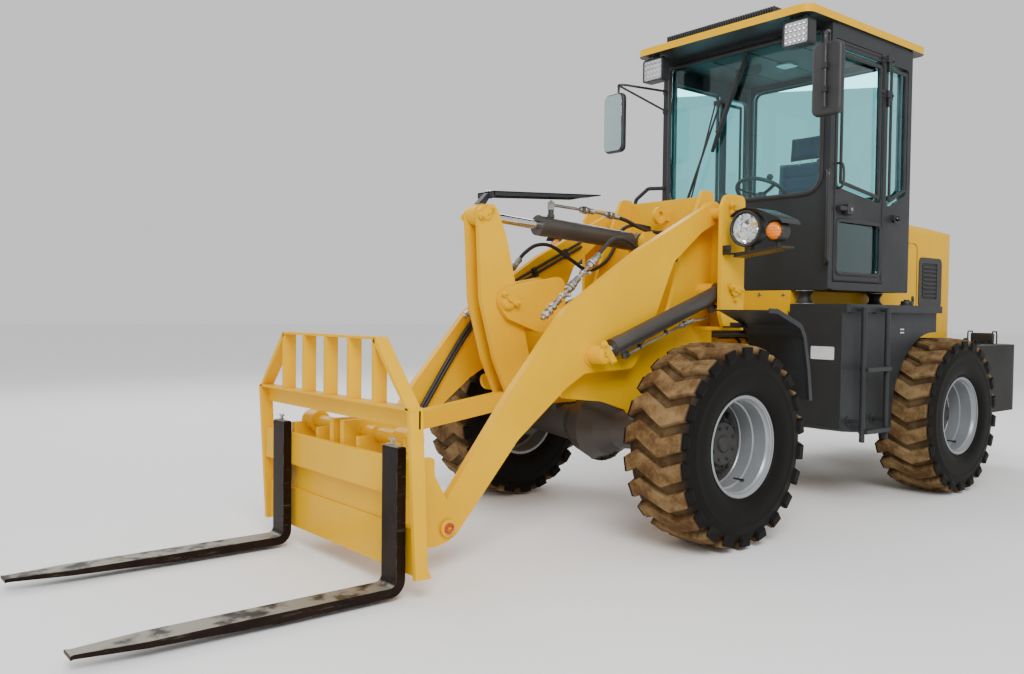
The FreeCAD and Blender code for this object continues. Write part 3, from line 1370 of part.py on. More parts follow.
def console():
    """Steering column, instrument pod, pedals' plate and the right-hand lever console."""
    piece = Piece("console")
    floor = dims.cab_floor + 60 + dims.gap_seat
    column = [
        (-1400, floor), (-1530, floor), (-1590, 1985, 20), (-1550, 2008, 10), (-1400, 1900, 60),
    ]
    piece.slab("XZ", -70, 70, column)
    piece.rod(wheel_seat() - WHEEL_TILT * 70, wheel_seat(), 30)
    piece.slab("XZ", -150, 150, [(-1410, 1930, 20), (-1500, 1965, 10), (-1480, 2060, 20),
                                 (-1410, 2040, 20)])
    piece.slab("XZ", -540, -340, [
        (-1700, floor), (-2200, floor), (-2200, 1960, 30), (-1800, 2000, 40), (-1700, 1700, 80)])
    piece.rod((-1800, -440, 1990), (-1760, -440, 2110), 12)
    piece.rod((-1762, -440, 2100), (-1755, -440, 2150), 24)
    return piece.done()


def steering_wheel():
    """The steering wheel: a rim, a hub and three spokes on the column's axis."""
    piece = Piece("steering_wheel_hub")
    tilt = WHEEL_TILT
    hub = wheel_seat() + tilt * float(dims.gap_seat)
    middle = hub + tilt * 40
    piece.rod(hub, hub + tilt * 40, 36)
    across = V(0, 1, 0)
    ahead = tilt.cross(across)
    for angle in (90, 210, 330):
        turn = math.radians(angle)
        aim = across * math.cos(turn) + ahead * math.sin(turn)
        piece.rod(middle - tilt * 12, middle + aim * float(dims.wheel_radius), 9)
    rim_ring = Piece("steering_wheel_rim")
    grip = dims.wheel_grip
    section = []
    for corner in range(8):
        turn = math.radians(45 * corner + 22.5)
        section.append((dims.wheel_radius + grip * math.cos(turn), grip * math.sin(turn)))
    rim_ring.turn("XZ", 0, (0, 0), (0, 1), section)
    rim_ring.body.Placement = FreeCAD.Placement(middle, turned(tilt))
    return placing(fused("steering_wheel", [piece, rim_ring]))


def handrails():
    """Tubular handrails on the cab's front posts."""
    front, half = dims.cab_front, dims.cab_half
    left = bent_tube("rail_left", [
        (front - 6, half - 20, 1565), (front + 60, half + 30, 1565), (front + 60, half + 30, 2155),
        (front - 6, half - 20, 2155)], 15, 40)
    right = bent_tube("rail_right", [
        (front - 6, 0 - half + 20, 2176), (front + 60, -790, 2176), (front + 60, -918, 2100),
        (front + 60, -918, 1980), (front - 6, 0 - half + 20, 1936)], 15, 40)
    return on_cab_face("handrails", [left, right])


def mirrors():
    """A mirror on a two-tube arm at each front post."""
    pieces = []
    front, half = dims.cab_front, dims.cab_half
    for name, side in SIDES:
        head = Piece("mirror_head_" + name)
        head.slab("XZ", *span(780, 980, side), box(-1025, -985, 2424, 2864, 18))
        pieces.append(head)
        pieces.append(bent_tube("mirror_arm_" + name, [
            (front - 8, (half - 30) * side, 2900), (-1005, 880 * side, 2935),
            (-1005, 880 * side, 2864)], 12, 25))
        strut = Piece("mirror_strut_" + name)
        strut.rod((front - 8, (half - 30) * side, 2750), (-1035, 865 * side, 2925), 9)
        pieces.append(strut)
    return on_cab_face("mirrors", pieces)


def work_lights():
    """Four work lights hung under the roof's front edge, two a side."""
    piece = Piece("work_lights")
    for name, side in SIDES:
        piece.slab("YZ", -1170, -1100, box(*span(500, 690, side), 2920, 3085, 20))
        piece.slab("YZ", -1150, -1120, box(*span(575, 615, side), 3084, dims.post_top))
    return piece.done()


def exhaust():
    """The exhaust pipe that rises from the hood, cut obliquely at its end."""
    piece = Piece("exhaust")
    x = REAR_AXLE - dims.exhaust_back
    piece.rod((x, -230, dims.hood_top + dims.gap_seat), (x, -230, 2500), 42)
    return piece.done()


# ---------------------------------------------------------------- the machine

def build():
    """Makes every sub-part of the machine."""
    for axle_name, axle_x in (("front", ZERO), ("rear", 0 - dims.wheelbase)):
        for side_name, side in SIDES:
            tyre(f"tyre_{axle_name}_{side_name}", axle_x, side)
            rim(f"rim_{axle_name}_{side_name}", axle_x, side)
    front_axle()
    rear_axle()
    front_frame()
    front_fenders()
    headlamps()
    for side_name, side in SIDES:
        arm("arm_" + side_name, side)
        lift_cylinder(side_name, side)
        steps("steps_" + side_name, side)
    boom_crossmember()
    bracket_face = dims.crank_y + dims.crank_plate * 1.5 + 4
    pin("bellcrank_pin", dims.crank_x, dims.crank_z, bracket_face + 2, dims.pin_radius, 48)
    bellcrank()
    crank_face = dims.crank_y + dims.crank_plate / 2
    pin("link_pin", dims.crank_low_x, dims.crank_low_z, crank_face + 2, dims.small_pin, 38)
    tilt_link()
    tip_pins()
    tilt_base = dims.eye_width / 2 + 33
    pin("tilt_base_pin", dims.tilt_base_x, dims.tilt_base_z, tilt_base + 2, dims.small_pin, 38)
    tilt_cylinder()
    steering_cylinder()
    quick_hitch()
    carriage()
    fork("fork_left", dims.fork_left_y)
    fork("fork_right", dims.fork_right_y)
    rear_frame()
    engine_block()
    hood()
    hood_grilles()
    counterweight()
    for make in (cab_floor, cab_front, cab_rear, cab_left, cab_right, cab_roof, roof_unit,
                 cab_glass, cab_door, door_glass, seat_base, seat_cushions, console,
                 steering_wheel, handrails, mirrors, work_lights, exhaust):
        make()


build()
doc.recompute()
for item in doc.Objects:
    if "Invalid" in item.State or "Error" in item.State:
        raise RuntimeError(f"{item.Name} failed: {item.getStatusString()}")
os.makedirs("parts", exist_ok=True)
for subpart in SUBPARTS:
    shape = subpart.Shape
    if shape.isNull() or not shape.isValid():
        raise RuntimeError(f"{subpart.Label} has no valid shape")
    shape.exportStep(f"parts/{subpart.Label}.step")
print(len(SUBPARTS), "sub-parts written")
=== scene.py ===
"""Looks of the compact loader with pallet forks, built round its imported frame.

Lengths are in metres, and in millimetres where at(x, y, z) takes them. Both at() and
machine() measure from the front axle's middle on the ground, +X forward and +Y to the
machine's left.
"""
import json
from math import copysign, cos, exp, hypot, pi, radians, sin, sqrt, tan

import bmesh
import bpy
from mathutils import Matrix, Vector


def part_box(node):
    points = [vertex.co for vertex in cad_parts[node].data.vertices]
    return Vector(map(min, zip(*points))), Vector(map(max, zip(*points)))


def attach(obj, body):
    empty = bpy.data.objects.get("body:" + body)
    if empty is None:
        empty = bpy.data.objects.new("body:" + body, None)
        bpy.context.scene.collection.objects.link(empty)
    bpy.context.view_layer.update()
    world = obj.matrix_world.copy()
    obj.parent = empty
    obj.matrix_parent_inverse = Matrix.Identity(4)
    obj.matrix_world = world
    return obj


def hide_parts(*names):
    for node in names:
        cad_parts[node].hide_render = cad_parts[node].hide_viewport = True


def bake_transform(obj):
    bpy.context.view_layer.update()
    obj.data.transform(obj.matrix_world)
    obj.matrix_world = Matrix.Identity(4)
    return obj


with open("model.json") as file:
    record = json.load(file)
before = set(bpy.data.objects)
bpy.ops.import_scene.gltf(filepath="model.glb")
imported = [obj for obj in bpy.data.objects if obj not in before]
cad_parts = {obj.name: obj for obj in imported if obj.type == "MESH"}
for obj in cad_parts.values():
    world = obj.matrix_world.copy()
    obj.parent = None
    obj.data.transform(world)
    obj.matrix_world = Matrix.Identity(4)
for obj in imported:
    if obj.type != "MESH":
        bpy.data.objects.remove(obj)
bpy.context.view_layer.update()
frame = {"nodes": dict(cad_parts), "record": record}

SIDES = (("left", 1), ("right", -1))
WAYS = (1, -1)
REAR, FRONT = "rear_body", "front_body"


def middle_of(node):
    """The middle of a CAD node's box."""
    low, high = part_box(node)
    return (low + high) / 2


FRONT_AXLE = middle_of("rim_front_left")
TYRE_RADIUS = FRONT_AXLE.z


def machine(x, y, z):
    """A place measured from the front axle's middle on the ground."""
    return Vector((FRONT_AXLE.x + x, y, z))


def at(x, y, z):
    """The same place, given in millimetres."""
    return machine(x / 1000, y / 1000, z / 1000)


# axes of the linkage's pins in millimetres, as (x, z)
BOOM_PIVOT, LIFT_BASE, LIFT_EYE = (-506, 1833), (-515, 1367), (511, 1006)
BELLCRANK_PIN, TILT_EYE, TIP_PIN, HITCH_BOSS = (812, 1286), (940, 1749), (1478, 220), (1672, 640)
# the hinge of the two frames, the rear axle and the height of both axles
HINGE_X, REAR_AXLE_X, AXLE_Z = -1238, -2477, 540
# outer faces of the cab, the hood's side and the top of the step platforms
CAB_FRONT, CAB_REAR, CAB_SIDE, HOOD_SIDE, PLATFORM_TOP = -1341, -2385, 702, 380, 1300


def on_plane(axis, depth, u, v):
    """A place in millimetres: depth along the named axis, u and v along the other two."""
    return at(*{"X": (depth, u, v), "Y": (u, depth, v), "Z": (u, v, depth)}[axis])


def on_pin(pin, y):
    """A place on a pin's axis, y millimetres to the left of the middle."""
    return at(pin[0], y, pin[1])


def placed(name, data):
    """A new object in the scene."""
    thing = bpy.data.objects.new(name, data)
    bpy.context.scene.collection.objects.link(thing)
    return thing


# ------------------------------------------------------------------ node groups

FLOAT = "NodeSocketFloat"
VECTOR = "NodeSocketVector"


def new_group(name, inputs, outputs):
    """A shader node group: its wires, the sockets that come in and those that go out."""
    group = bpy.data.node_groups.new(name, "ShaderNodeTree")
    for label, kind, value in inputs:
        group.interface.new_socket(name=label, in_out="INPUT", socket_type=kind).default_value = value
    for label in outputs:
        group.interface.new_socket(name=label, in_out="OUTPUT", socket_type=FLOAT)
    coming, going = group.nodes.new("NodeGroupInput"), group.nodes.new("NodeGroupOutput")
    return Wires(group), coming.outputs, going.inputs


class Wires:
    """Adds nodes to a tree and joins them, so that a formula reads in order."""

    def __init__(self, tree):
        self.tree = tree

    def add(self, kind, **settings):
        node = self.tree.nodes.new(kind)
        for label, value in settings.items():
            setattr(node, label, value)
        return node

    def join(self, source, target):
        if isinstance(source, bpy.types.NodeSocket):
            self.tree.links.new(source, target)
        else:
            target.default_value = source

    def math(self, operation, first, second=0.0, clamp=False):
        node = self.add("ShaderNodeMath", operation=operation, use_clamp=clamp)
        self.join(first, node.inputs[0])
        self.join(second, node.inputs[1])
        return node.outputs[0]

    def scaled(self, value, factor, offset, clamp=False):
        """A value times a factor, plus an offset."""
        return self.math("ADD", self.times(value, factor), offset, clamp)

    def times(self, first, second, clamp=False):
        return self.math("MULTIPLY", first, second, clamp)

    def noise(self, scale, detail=3.0, roughness=0.55, vector=None):
        """Noise over the object's own place, or over another vector."""
        vector = vector or self.place()
        node = self.add("ShaderNodeTexNoise")
        self.join(vector, node.inputs["Vector"])
        self.join(scale, node.inputs["Scale"])
        self.join(detail, node.inputs["Detail"])
        self.join(roughness, node.inputs["Roughness"])
        return node.outputs["Fac"]

    def ramp(self, value, low, high):
        """0 below low, 1 above high, and smooth between."""
        node = self.add("ShaderNodeMapRange", interpolation_type="SMOOTHSTEP")
        self.join(value, node.inputs["Value"])
        self.join(low, node.inputs["From Min"])
        self.join(high, node.inputs["From Max"])
        return node.outputs["Result"]

    def mix(self, share, first, second):
        node = self.add("ShaderNodeMix", data_type="RGBA")
        self.join(share, node.inputs[0])
        self.join(first, node.inputs[6])
        self.join(second, node.inputs[7])
        return node.outputs[2]

    def place(self):
        return self.add("ShaderNodeTexCoord").outputs["Object"]

    def facing(self):
        """The surface's normal in the object's own axes."""
        return self.add("ShaderNodeTexCoord").outputs["Normal"]

    def split(self, vector):
        node = self.add("ShaderNodeSeparateXYZ")
        self.join(vector, node.inputs[0])
        return node.outputs

    def bump(self, height, strength, distance=0.001):
        node = self.add("ShaderNodeBump")
        node.inputs["Strength"].default_value = strength
        node.inputs["Distance"].default_value = distance
        self.join(height, node.inputs["Height"])
        return node.outputs["Normal"]


def edge_wear_and_highlight_group():
    """Sharp outer edges, 1 on the edge and broken up by noise: rubbed corners, and in painted_steel also a
    painted edge highlight.
    """
    wires, inside, outside = new_group(
        "edge_wear_and_highlight",
        [("Radius", FLOAT, 0.004), ("Break Up", FLOAT, 22.0), ("Amount", FLOAT, 0.6)],
        ["Mask"])
    round_edge = wires.add("ShaderNodeBevel", samples=4)
    wires.join(inside["Radius"], round_edge.inputs["Radius"])
    plain = wires.add("ShaderNodeNewGeometry")
    dot = wires.add("ShaderNodeVectorMath", operation="DOT_PRODUCT")
    wires.join(round_edge.outputs["Normal"], dot.inputs[0])
    wires.join(plain.outputs["Normal"], dot.inputs[1])
    turned = wires.math("SUBTRACT", 1.0, dot.outputs["Value"])
    sharp = wires.ramp(turned, 0.02, 0.16)
    patches = wires.ramp(wires.noise(inside["Break Up"], 5.0), 0.42, 0.62)
    worn = wires.times(sharp, patches)
    wires.join(wires.times(worn, inside["Amount"], True), outside["Mask"])
    return wires.tree


def settled_dust_group():
    """Dust on faces that look up and low on the machine, in soft clouds."""
    wires, inside, outside = new_group(
        "settled_dust",
        [("On Top", FLOAT, 0.3), ("Low Down", FLOAT, 0.3), ("Reach", FLOAT, 0.9)],
        ["Mask"])
    up = wires.ramp(wires.split(wires.facing())["Z"], 0.35, 0.95)
    height = wires.split(wires.place())["Z"]
    share = wires.math("DIVIDE", height, inside["Reach"])
    low = wires.math("SUBTRACT", 1.0, share, True)
    clouds = wires.ramp(wires.noise(6.0, 6.0, 0.65), 0.3, 0.75)
    top = wires.times(up, inside["On Top"])
    bottom = wires.times(low, inside["Low Down"])
    both = wires.math("ADD", top, bottom)
    wires.join(wires.times(both, clouds, True), outside["Mask"])
    return wires.tree


def mottle_group():
    """Soft variation in tone at two scales, with a fine grain for the bump."""
    wires, inside, outside = new_group(
        "mottle", [("Scale", FLOAT, 3.0), ("Grain", FLOAT, 300.0)],
        ["Cloud", "Grain"])
    cloud = wires.noise(inside["Scale"], 4.0, 0.6)
    wires.join(wires.ramp(cloud, 0.3, 0.7), outside["Cloud"])
    grain = wires.noise(inside["Grain"], 2.0, 0.5)
    wires.join(grain, outside["Grain"])
    return wires.tree


def scratches_group():
    """Long thin scratches along one axis, more where the mask of clouds lets them show."""
    wires, inside, outside = new_group(
        "scratches", [("Stretch", VECTOR, (4.0, 60.0, 60.0)), ("Amount", FLOAT, 0.5)],
        ["Mask"])
    stretched = wires.add("ShaderNodeVectorMath", operation="MULTIPLY")
    wires.join(wires.place(), stretched.inputs[0])
    wires.join(inside["Stretch"], stretched.inputs[1])
    lines = wires.ramp(wires.noise(3.0, 4.0, 0.7, stretched.outputs["Vector"]), 0.56, 0.66)
    where = wires.ramp(wires.noise(3.0, 3.0), 0.38, 0.62)
    mask = wires.times(lines, where)
    wires.join(wires.times(mask, inside["Amount"], True), outside["Mask"])
    return wires.tree


def weave_group():
    """A plain weave of crossing threads, as a height and a tone."""
    wires, inside, outside = new_group(
        "weave", [("Threads", FLOAT, 420.0)], ["Height", "Tone"])
    scaled = wires.add("ShaderNodeVectorMath", operation="SCALE")
    wires.join(wires.place(), scaled.inputs[0])
    wires.join(inside["Threads"], scaled.inputs["Scale"])
    axes = wires.split(scaled.outputs["Vector"])
    first = wires.math("SINE", axes["Y"])
    second = wires.math("SINE", wires.math("ADD", axes["X"], axes["Z"]))
    crossing = wires.times(first, second)
    wires.join(wires.scaled(crossing, 0.5, 0.5), outside["Height"])
    wires.join(wires.noise(14.0, 4.0), outside["Tone"])
    return wires.tree


EDGE_WEAR_AND_HIGHLIGHT = edge_wear_and_highlight_group()
SETTLED_DUST = settled_dust_group()
MOTTLE = mottle_group()
SCRATCHES = scratches_group()
WEAVE = weave_group()

DUST_TAN = (0.3, 0.22, 0.13, 1)


class Finish(Wires):
    """A material whose Principled shader is fed by groups."""

    def __init__(self, name):
        self.material = bpy.data.materials.new(name)
        self.material.use_nodes = True
        super().__init__(self.material.node_tree)
        self.shader = self.tree.nodes["Principled BSDF"]

    def set(self, **values):
        for label, value in values.items():
            self.shader.inputs[label.replace("_", " ")].default_value = value
        return self

    def group(self, group, **values):
        node = self.add("ShaderNodeGroup", node_tree=group)
        for label, value in values.items():
            self.join(value, node.inputs[label.replace("_", " ")])
        return node.outputs

    def feed(self, label, source):
        self.join(source, self.shader.inputs[label])
        return self

    def tint(self, share, first, second):
        """Feeds a mix of two colours to the base colour."""
        return self.feed("Base Color", self.mix(share, first, second))

    def dull(self, value, factor, offset, clamp=False):
        """Feeds a scaled value to the roughness."""
        return self.feed("Roughness", self.scaled(value, factor, offset, clamp))

    def relief(self, height, strength, distance=0.001):
        """Feeds a height to the normal."""
        return self.feed("Normal", self.bump(height, strength, distance))


def painted_steel(name, tone, deep, bare, gloss=0.36, wear_and_highlight=0.5, dust=(0.16, 0.3), peel=0.1):
    """Sprayed paint: a slight orange peel, corners lightened to the bare tone, partly as rubbed wear and
    partly as a painted edge highlight, and dust where it settles.
    """
    finish = Finish(name)
    mottle = finish.group(MOTTLE, Scale=2.2, Grain=260.0)
    worn = finish.group(EDGE_WEAR_AND_HIGHLIGHT, Radius=0.004, Break_Up=26.0, Amount=wear_and_highlight)["Mask"]
    dusty = finish.group(SETTLED_DUST, On_Top=dust[0], Low_Down=dust[1], Reach=1.0)["Mask"]
    colour = finish.mix(mottle["Cloud"], deep, tone)
    # sharp edges turn to the bare tone: partly rubbed paint, partly a painted edge highlight
    colour = finish.mix(worn, colour, bare)
    colour = finish.mix(dusty, colour, DUST_TAN)
    finish.feed("Base Color", colour)
    dull = finish.scaled(mottle["Cloud"], -0.06, gloss + 0.03)
    dull = finish.math("ADD", dull, finish.times(dusty, 0.5))
    finish.feed("Roughness", finish.math("ADD", dull, finish.times(worn, 0.2), True))
    finish.relief(mottle["Grain"], peel)
    finish.set(Specular_IOR_Level=0.5)
    return finish


# each paint's bare tone is lighter than the paint; on the yellow it is a brighter yellow, a painted edge
# highlight on its corners
YELLOW_PAINT = painted_steel(
    "yellow_paint", (0.84, 0.465, 0.0, 1), (0.78, 0.415, 0.0, 1), (0.88, 0.54, 0.01, 1),
    gloss=0.3, wear_and_highlight=0.3, dust=(0, 0.02), peel=0.05).set(Specular_IOR_Level=0.1).material
GREY_PAINT = painted_steel(
    "grey_paint", (0.029, 0.032, 0.035, 1), (0.021, 0.024, 0.026, 1), (0.08, 0.08, 0.09, 1),
    gloss=0.42, wear_and_highlight=0.4, dust=(0.03, 0.03)).set(Specular_IOR_Level=0.25).material
BARREL_PAINT = painted_steel(
    "barrel_paint", (0.058, 0.052, 0.045, 1), (0.042, 0.038, 0.033, 1), (0.13, 0.12, 0.11, 1),
    gloss=0.34, wear_and_highlight=0.3, dust=(0.04, 0.04)).material
CAST_PAINT = painted_steel(
    "cast_paint", (0.0125, 0.013, 0.0115, 1), (0.0085, 0.0088, 0.008, 1), (0.05, 0.045, 0.04, 1),
    gloss=0.5, wear_and_highlight=0.25, dust=(0.05, 0.08), peel=0.5).set(Specular_IOR_Level=0.2).material
RIM_PAINT = painted_steel(
    "rim_paint", (0.33, 0.345, 0.36, 1), (0.26, 0.275, 0.29, 1), (0.5, 0.5, 0.5, 1),
    gloss=0.3, wear_and_highlight=0.3, dust=(0.06, 0.06)).set(Metallic=0.35).material
HUB_PAINT = painted_steel(
    "hub_paint", (0.036, 0.036, 0.036, 1), (0.024, 0.024, 0.024, 1), (0.11, 0.11, 0.11, 1),
    gloss=0.48, wear_and_highlight=0.3, dust=(0.08, 0.1)).set(Specular_IOR_Level=0.3).material
BLACK_PAINT = painted_steel(
    "black_paint", (0.02, 0.02, 0.021, 1), (0.014, 0.014, 0.015, 1), (0.09, 0.09, 0.09, 1),
    gloss=0.34, wear_and_highlight=0.4, dust=(0.1, 0.1)).material


def tyre_rubber():
    """Black rubber whose tread is caked with dry earth; the wheel's axle is the object's Y."""
    finish = Finish("tyre_rubber")
    axes = finish.split(finish.place())
    square = finish.math("ADD", finish.math("POWER", axes["X"], 2.0), finish.math("POWER", axes["Z"], 2.0))
    reach = finish.math("SQRT", square)
    blotch = finish.noise(9.0, 6.0, 0.65)
    ragged = finish.math("ADD", reach, finish.times(blotch, 0.02))
    tread = finish.ramp(ragged, TYRE_RADIUS - 0.046, TYRE_RADIUS - 0.004)
    shoulder = finish.math("ABSOLUTE", axes["Y"])
    inside = finish.math("SUBTRACT", 1.0, finish.ramp(shoulder, 0.176, 0.188))
    caked = finish.times(tread, inside)
    clods = finish.ramp(finish.noise(7.0, 7.0, 0.72), 0.34, 0.66)
    earth = finish.mix(clods, (0.115, 0.058, 0.022, 1), (0.255, 0.17, 0.078, 1))
    side = finish.mix(blotch, (0.003, 0.0028, 0.0022, 1), (0.0075, 0.0068, 0.0052, 1))
    groove = finish.ramp(ragged, TYRE_RADIUS - 0.075, TYRE_RADIUS - 0.035)
    groove = finish.times(groove, inside)
    colour = finish.mix(groove, side, (0.022, 0.013, 0.007, 1))
    share = finish.times(caked, finish.scaled(clods, 0.25, 0.72))
    colour = finish.mix(share, colour, earth)
    finish.feed("Base Color", colour)
    finish.dull(caked, 0.35, 0.56, True)
    grit = finish.noise(160.0, 3.0)
    finish.relief(finish.math("ADD", grit, clods), 0.25, 0.0015)
    finish.set(Specular_IOR_Level=0.12)
    return finish.material


def two_tone(name, deep, tone, cloud, grain, rough, bump=0.0, metallic=0.0):
    """A plain surface of two close tones; rough is how far the clouds dull it, and its least."""
    finish = Finish(name)
    mottle = finish.group(MOTTLE, Scale=cloud, Grain=grain)
    finish.tint(mottle["Cloud"], deep, tone)
    finish.dull(mottle["Cloud"], *rough)
    if bump:
        finish.relief(mottle["Grain"], bump)
    return finish.set(Metallic=metallic).material


def moulded_plastic(name, tone, deep, gloss=0.5):
    """Injection moulded plastic with a fine leather grain."""
    finish = Finish(name)
    mottle = finish.group(MOTTLE, Scale=5.0, Grain=520.0)
    finish.tint(mottle["Cloud"], deep, tone)
    finish.dull(mottle["Grain"], 0.2, gloss - 0.1)
    finish.relief(mottle["Grain"], 0.3)
    return finish.material


def zinc_steel():
    """Plated fittings, pipes and bolts: bright, with dull patches."""
    finish = Finish("zinc_steel")
    mottle = finish.group(MOTTLE, Scale=18.0, Grain=700.0)
    dusty = finish.group(SETTLED_DUST, On_Top=0.2, Low_Down=0.2, Reach=0.9)["Mask"]
    colour = finish.mix(mottle["Cloud"], (0.36, 0.35, 0.33, 1), (0.58, 0.57, 0.55, 1))
    finish.tint(dusty, colour, DUST_TAN)
    finish.dull(mottle["Cloud"], 0.2, 0.28)
    finish.relief(mottle["Grain"], 0.1)
    finish.set(Metallic=1.0)
    return finish.material


def worn_fork():
    """Dark brown lacquer on the forks, scraped to bare steel on the blades and corners."""
    finish = Finish("worn_fork")
    mottle = finish.group(MOTTLE, Scale=7.0, Grain=180.0)
    worn = finish.group(EDGE_WEAR_AND_HIGHLIGHT, Radius=0.004, Break_Up=18.0, Amount=0.35)["Mask"]
    scraped = finish.group(SCRATCHES, Stretch=(3.0, 46.0, 24.0), Amount=0.14)["Mask"]
    up = finish.ramp(finish.split(finish.facing())["Z"], 0.6, 0.9)
    blade = finish.times(up, finish.ramp(mottle["Cloud"], 0.05, 0.6))
    lacquer = finish.mix(mottle["Cloud"], (0.006, 0.0024, 0.001, 1), (0.015, 0.0062, 0.0028, 1))
    steel = finish.mix(mottle["Grain"], (0.24, 0.225, 0.18, 1), (0.42, 0.4, 0.34, 1))
    bare = finish.math("MAXIMUM", worn, scraped)
    bare = finish.math("MAXIMUM", bare, finish.times(blade, 0.8))
    finish.tint(bare, lacquer, steel)
    finish.dull(bare, 0.12, 0.42)
    finish.feed("Metallic", finish.times(bare, 0.55))
    finish.relief(mottle["Grain"], 0.35, 0.0015)
    finish.set(Specular_IOR_Level=0.12)
    return finish.material


def tinted_glass(name, tint, dust=0.03):
    """A pane that lamps pass through; its tint is the glass's own."""
    finish = Finish(name)
    finish.set(Base_Color=tint, Roughness=0.02, IOR=1.45, Transmission_Weight=1.0)
    smear = finish.noise(2.2, 5.0, 0.6)
    finish.feed("Roughness", finish.times(finish.ramp(smear, 0.45, 0.9), dust))
    clear = finish.add("ShaderNodeBsdfTransparent")
    clear.inputs["Color"].default_value = tuple(sqrt(part) for part in tint[:3]) + (1,)
    path = finish.add("ShaderNodeLightPath")
    mix = finish.add("ShaderNodeMixShader")
    out = finish.tree.nodes["Material Output"]
    finish.tree.links.new(path.outputs["Is Shadow Ray"], mix.inputs[0])
    finish.tree.links.new(finish.shader.outputs[0], mix.inputs[1])
    finish.tree.links.new(clear.outputs[0], mix.inputs[2])
    finish.tree.links.new(mix.outputs[0], out.inputs["Surface"])
    return finish.material


def lens(name, tint, deep):
    """A moulded lamp lens with vertical flutes over its reflector."""
    finish = Finish(name)
    axes = finish.split(finish.place())
    flutes = finish.math("SINE", finish.times(axes["Y"], 900.0))
    rows = finish.math("SINE", finish.times(axes["Z"], 380.0))
    pattern = finish.scaled(flutes, 0.35, finish.times(rows, 0.35))
    tone = finish.ramp(pattern, -0.6, 0.6)
    finish.tint(tone, deep, tint)
    finish.dull(tone, 0.06, 0.06)
    finish.relief(pattern, 0.5, 0.002)
    finish.set(Coat_Weight=0.6, Coat_Roughness=0.03)
    return finish


def seat_fabric():
    """Navy seat cloth with a plain weave."""
    finish = Finish("seat_fabric")
    weave = finish.group(WEAVE, Threads=900.0)
    colour = finish.mix(weave["Height"], (0.01, 0.016, 0.042, 1), (0.022, 0.036, 0.085, 1))
    colour = finish.mix(finish.times(weave["Tone"], 0.35), colour, (0.03, 0.05, 0.11, 1))
    finish.feed("Base Color", colour)
    finish.dull(weave["Tone"], 0.1, 0.8)
    finish.relief(weave["Height"], 0.4)
    finish.set(Sheen_Weight=0.3, Sheen_Roughness=0.5)
    return finish.material


def dark_mesh():
    """The black mesh behind the hood's louvres."""
    finish = Finish("dark_mesh")
    axes = finish.split(finish.place())
    across = finish.math("SINE", finish.times(axes["X"], 700.0))
    upward = finish.math("SINE", finish.times(axes["Z"], 700.0))
    wires = finish.math("MAXIMUM", across, upward)
    finish.tint(finish.ramp(wires, 0.2, 0.8), (0.004, 0.004, 0.004, 1),
                (0.03, 0.03, 0.031, 1))
    finish.dull(wires, 0.1, 0.5)
    finish.relief(wires, 0.6, 0.002)
    return finish.material


def mirror_glass():
    """A silvered mirror, slightly dusty."""
    finish = Finish("mirror_glass")
    haze = finish.noise(5.0, 4.0)
    finish.tint(haze, (0.42, 0.55, 0.55, 1), (0.58, 0.7, 0.7, 1))
    finish.feed("Roughness", finish.times(finish.ramp(haze, 0.4, 0.8), 0.08))
    finish.set(Metallic=1.0)
    return finish.material


def reflector():
    """The bright aluminised bowl of a lamp."""
    finish = Finish("reflector")
    haze = finish.noise(14.0, 3.0)
    finish.tint(haze, (0.8, 0.81, 0.83, 1), (0.93, 0.94, 0.95, 1))
    finish.dull(haze, 0.06, 0.05)
    finish.set(Metallic=1.0)
    return finish.material


TYRE_RUBBER = tyre_rubber()
# seals, mats and hoses
BLACK_RUBBER = two_tone("black_rubber", (0.012, 0.012, 0.012, 1), (0.024, 0.023, 0.022, 1),
                        12.0, 420.0, (0.15, 0.46), 0.15)
BLACK_PLASTIC = moulded_plastic("black_plastic", (0.026, 0.026, 0.028, 1), (0.018, 0.018, 0.019, 1))
GREY_PLASTIC = moulded_plastic("grey_plastic", (0.1, 0.105, 0.11, 1), (0.075, 0.08, 0.085, 1))
# hard chrome, with the faint film of oil that a rod carries
PLATED_ROD = two_tone("plated_rod", (0.6, 0.59, 0.57, 1), (0.74, 0.74, 0.73, 1),
                      8.0, 600.0, (0.07, 0.1), metallic=1.0)
ZINC_STEEL = zinc_steel()
WORN_FORK = worn_fork()
CAB_GLASS = tinted_glass("cab_glass_tint", (0.5, 0.88, 0.9, 1))
CLEAR_LENS = lens("clear_lens", (0.85, 0.87, 0.9, 1), (0.45, 0.47, 0.5, 1)).set(
    Metallic=0.6).material
AMBER_LENS = lens("amber_lens", (0.95, 0.3, 0.01, 1), (0.7, 0.13, 0.003, 1)).material
RED_LENS = lens("red_lens", (0.6, 0.02, 0.01, 1), (0.3, 0.008, 0.005, 1)).material
SEAT_FABRIC = seat_fabric()
DARK_MESH = dark_mesh()
MIRROR_GLASS = mirror_glass()
REFLECTOR = reflector()
LAMP_GLASS = tinted_glass("lamp_glass", (0.94, 0.97, 0.98, 1), 0.01)
# the exhaust's steel, with heat tints and rust
HEAT_STEEL = two_tone("heat_steel", (0.055, 0.045, 0.038, 1), (0.13, 0.085, 0.055, 1),
                      9.0, 240.0, (0.25, 0.45), 0.3, 0.6)
# a blank enamel plate, faintly blue
BARE_PLATE = two_tone("bare_plate", (0.6, 0.63, 0.68, 1), (0.7, 0.73, 0.77, 1),
                      9.0, 300.0, (0.1, 0.35))


# ------------------------------------------------------------------ shapes

X_AXIS = Vector((1, 0, 0))
Y_AXIS = Vector((0, 1, 0))
Z_AXIS = Vector((0, 0, 1))


def axes_about(axis):
    """Two unit vectors square to an axis."""
    axis = Vector(axis).normalized()
    helper = Z_AXIS if abs(axis.z) < 0.9 else X_AXIS
    first = axis.cross(helper).normalized()
    return first, axis.cross(first).normalized()


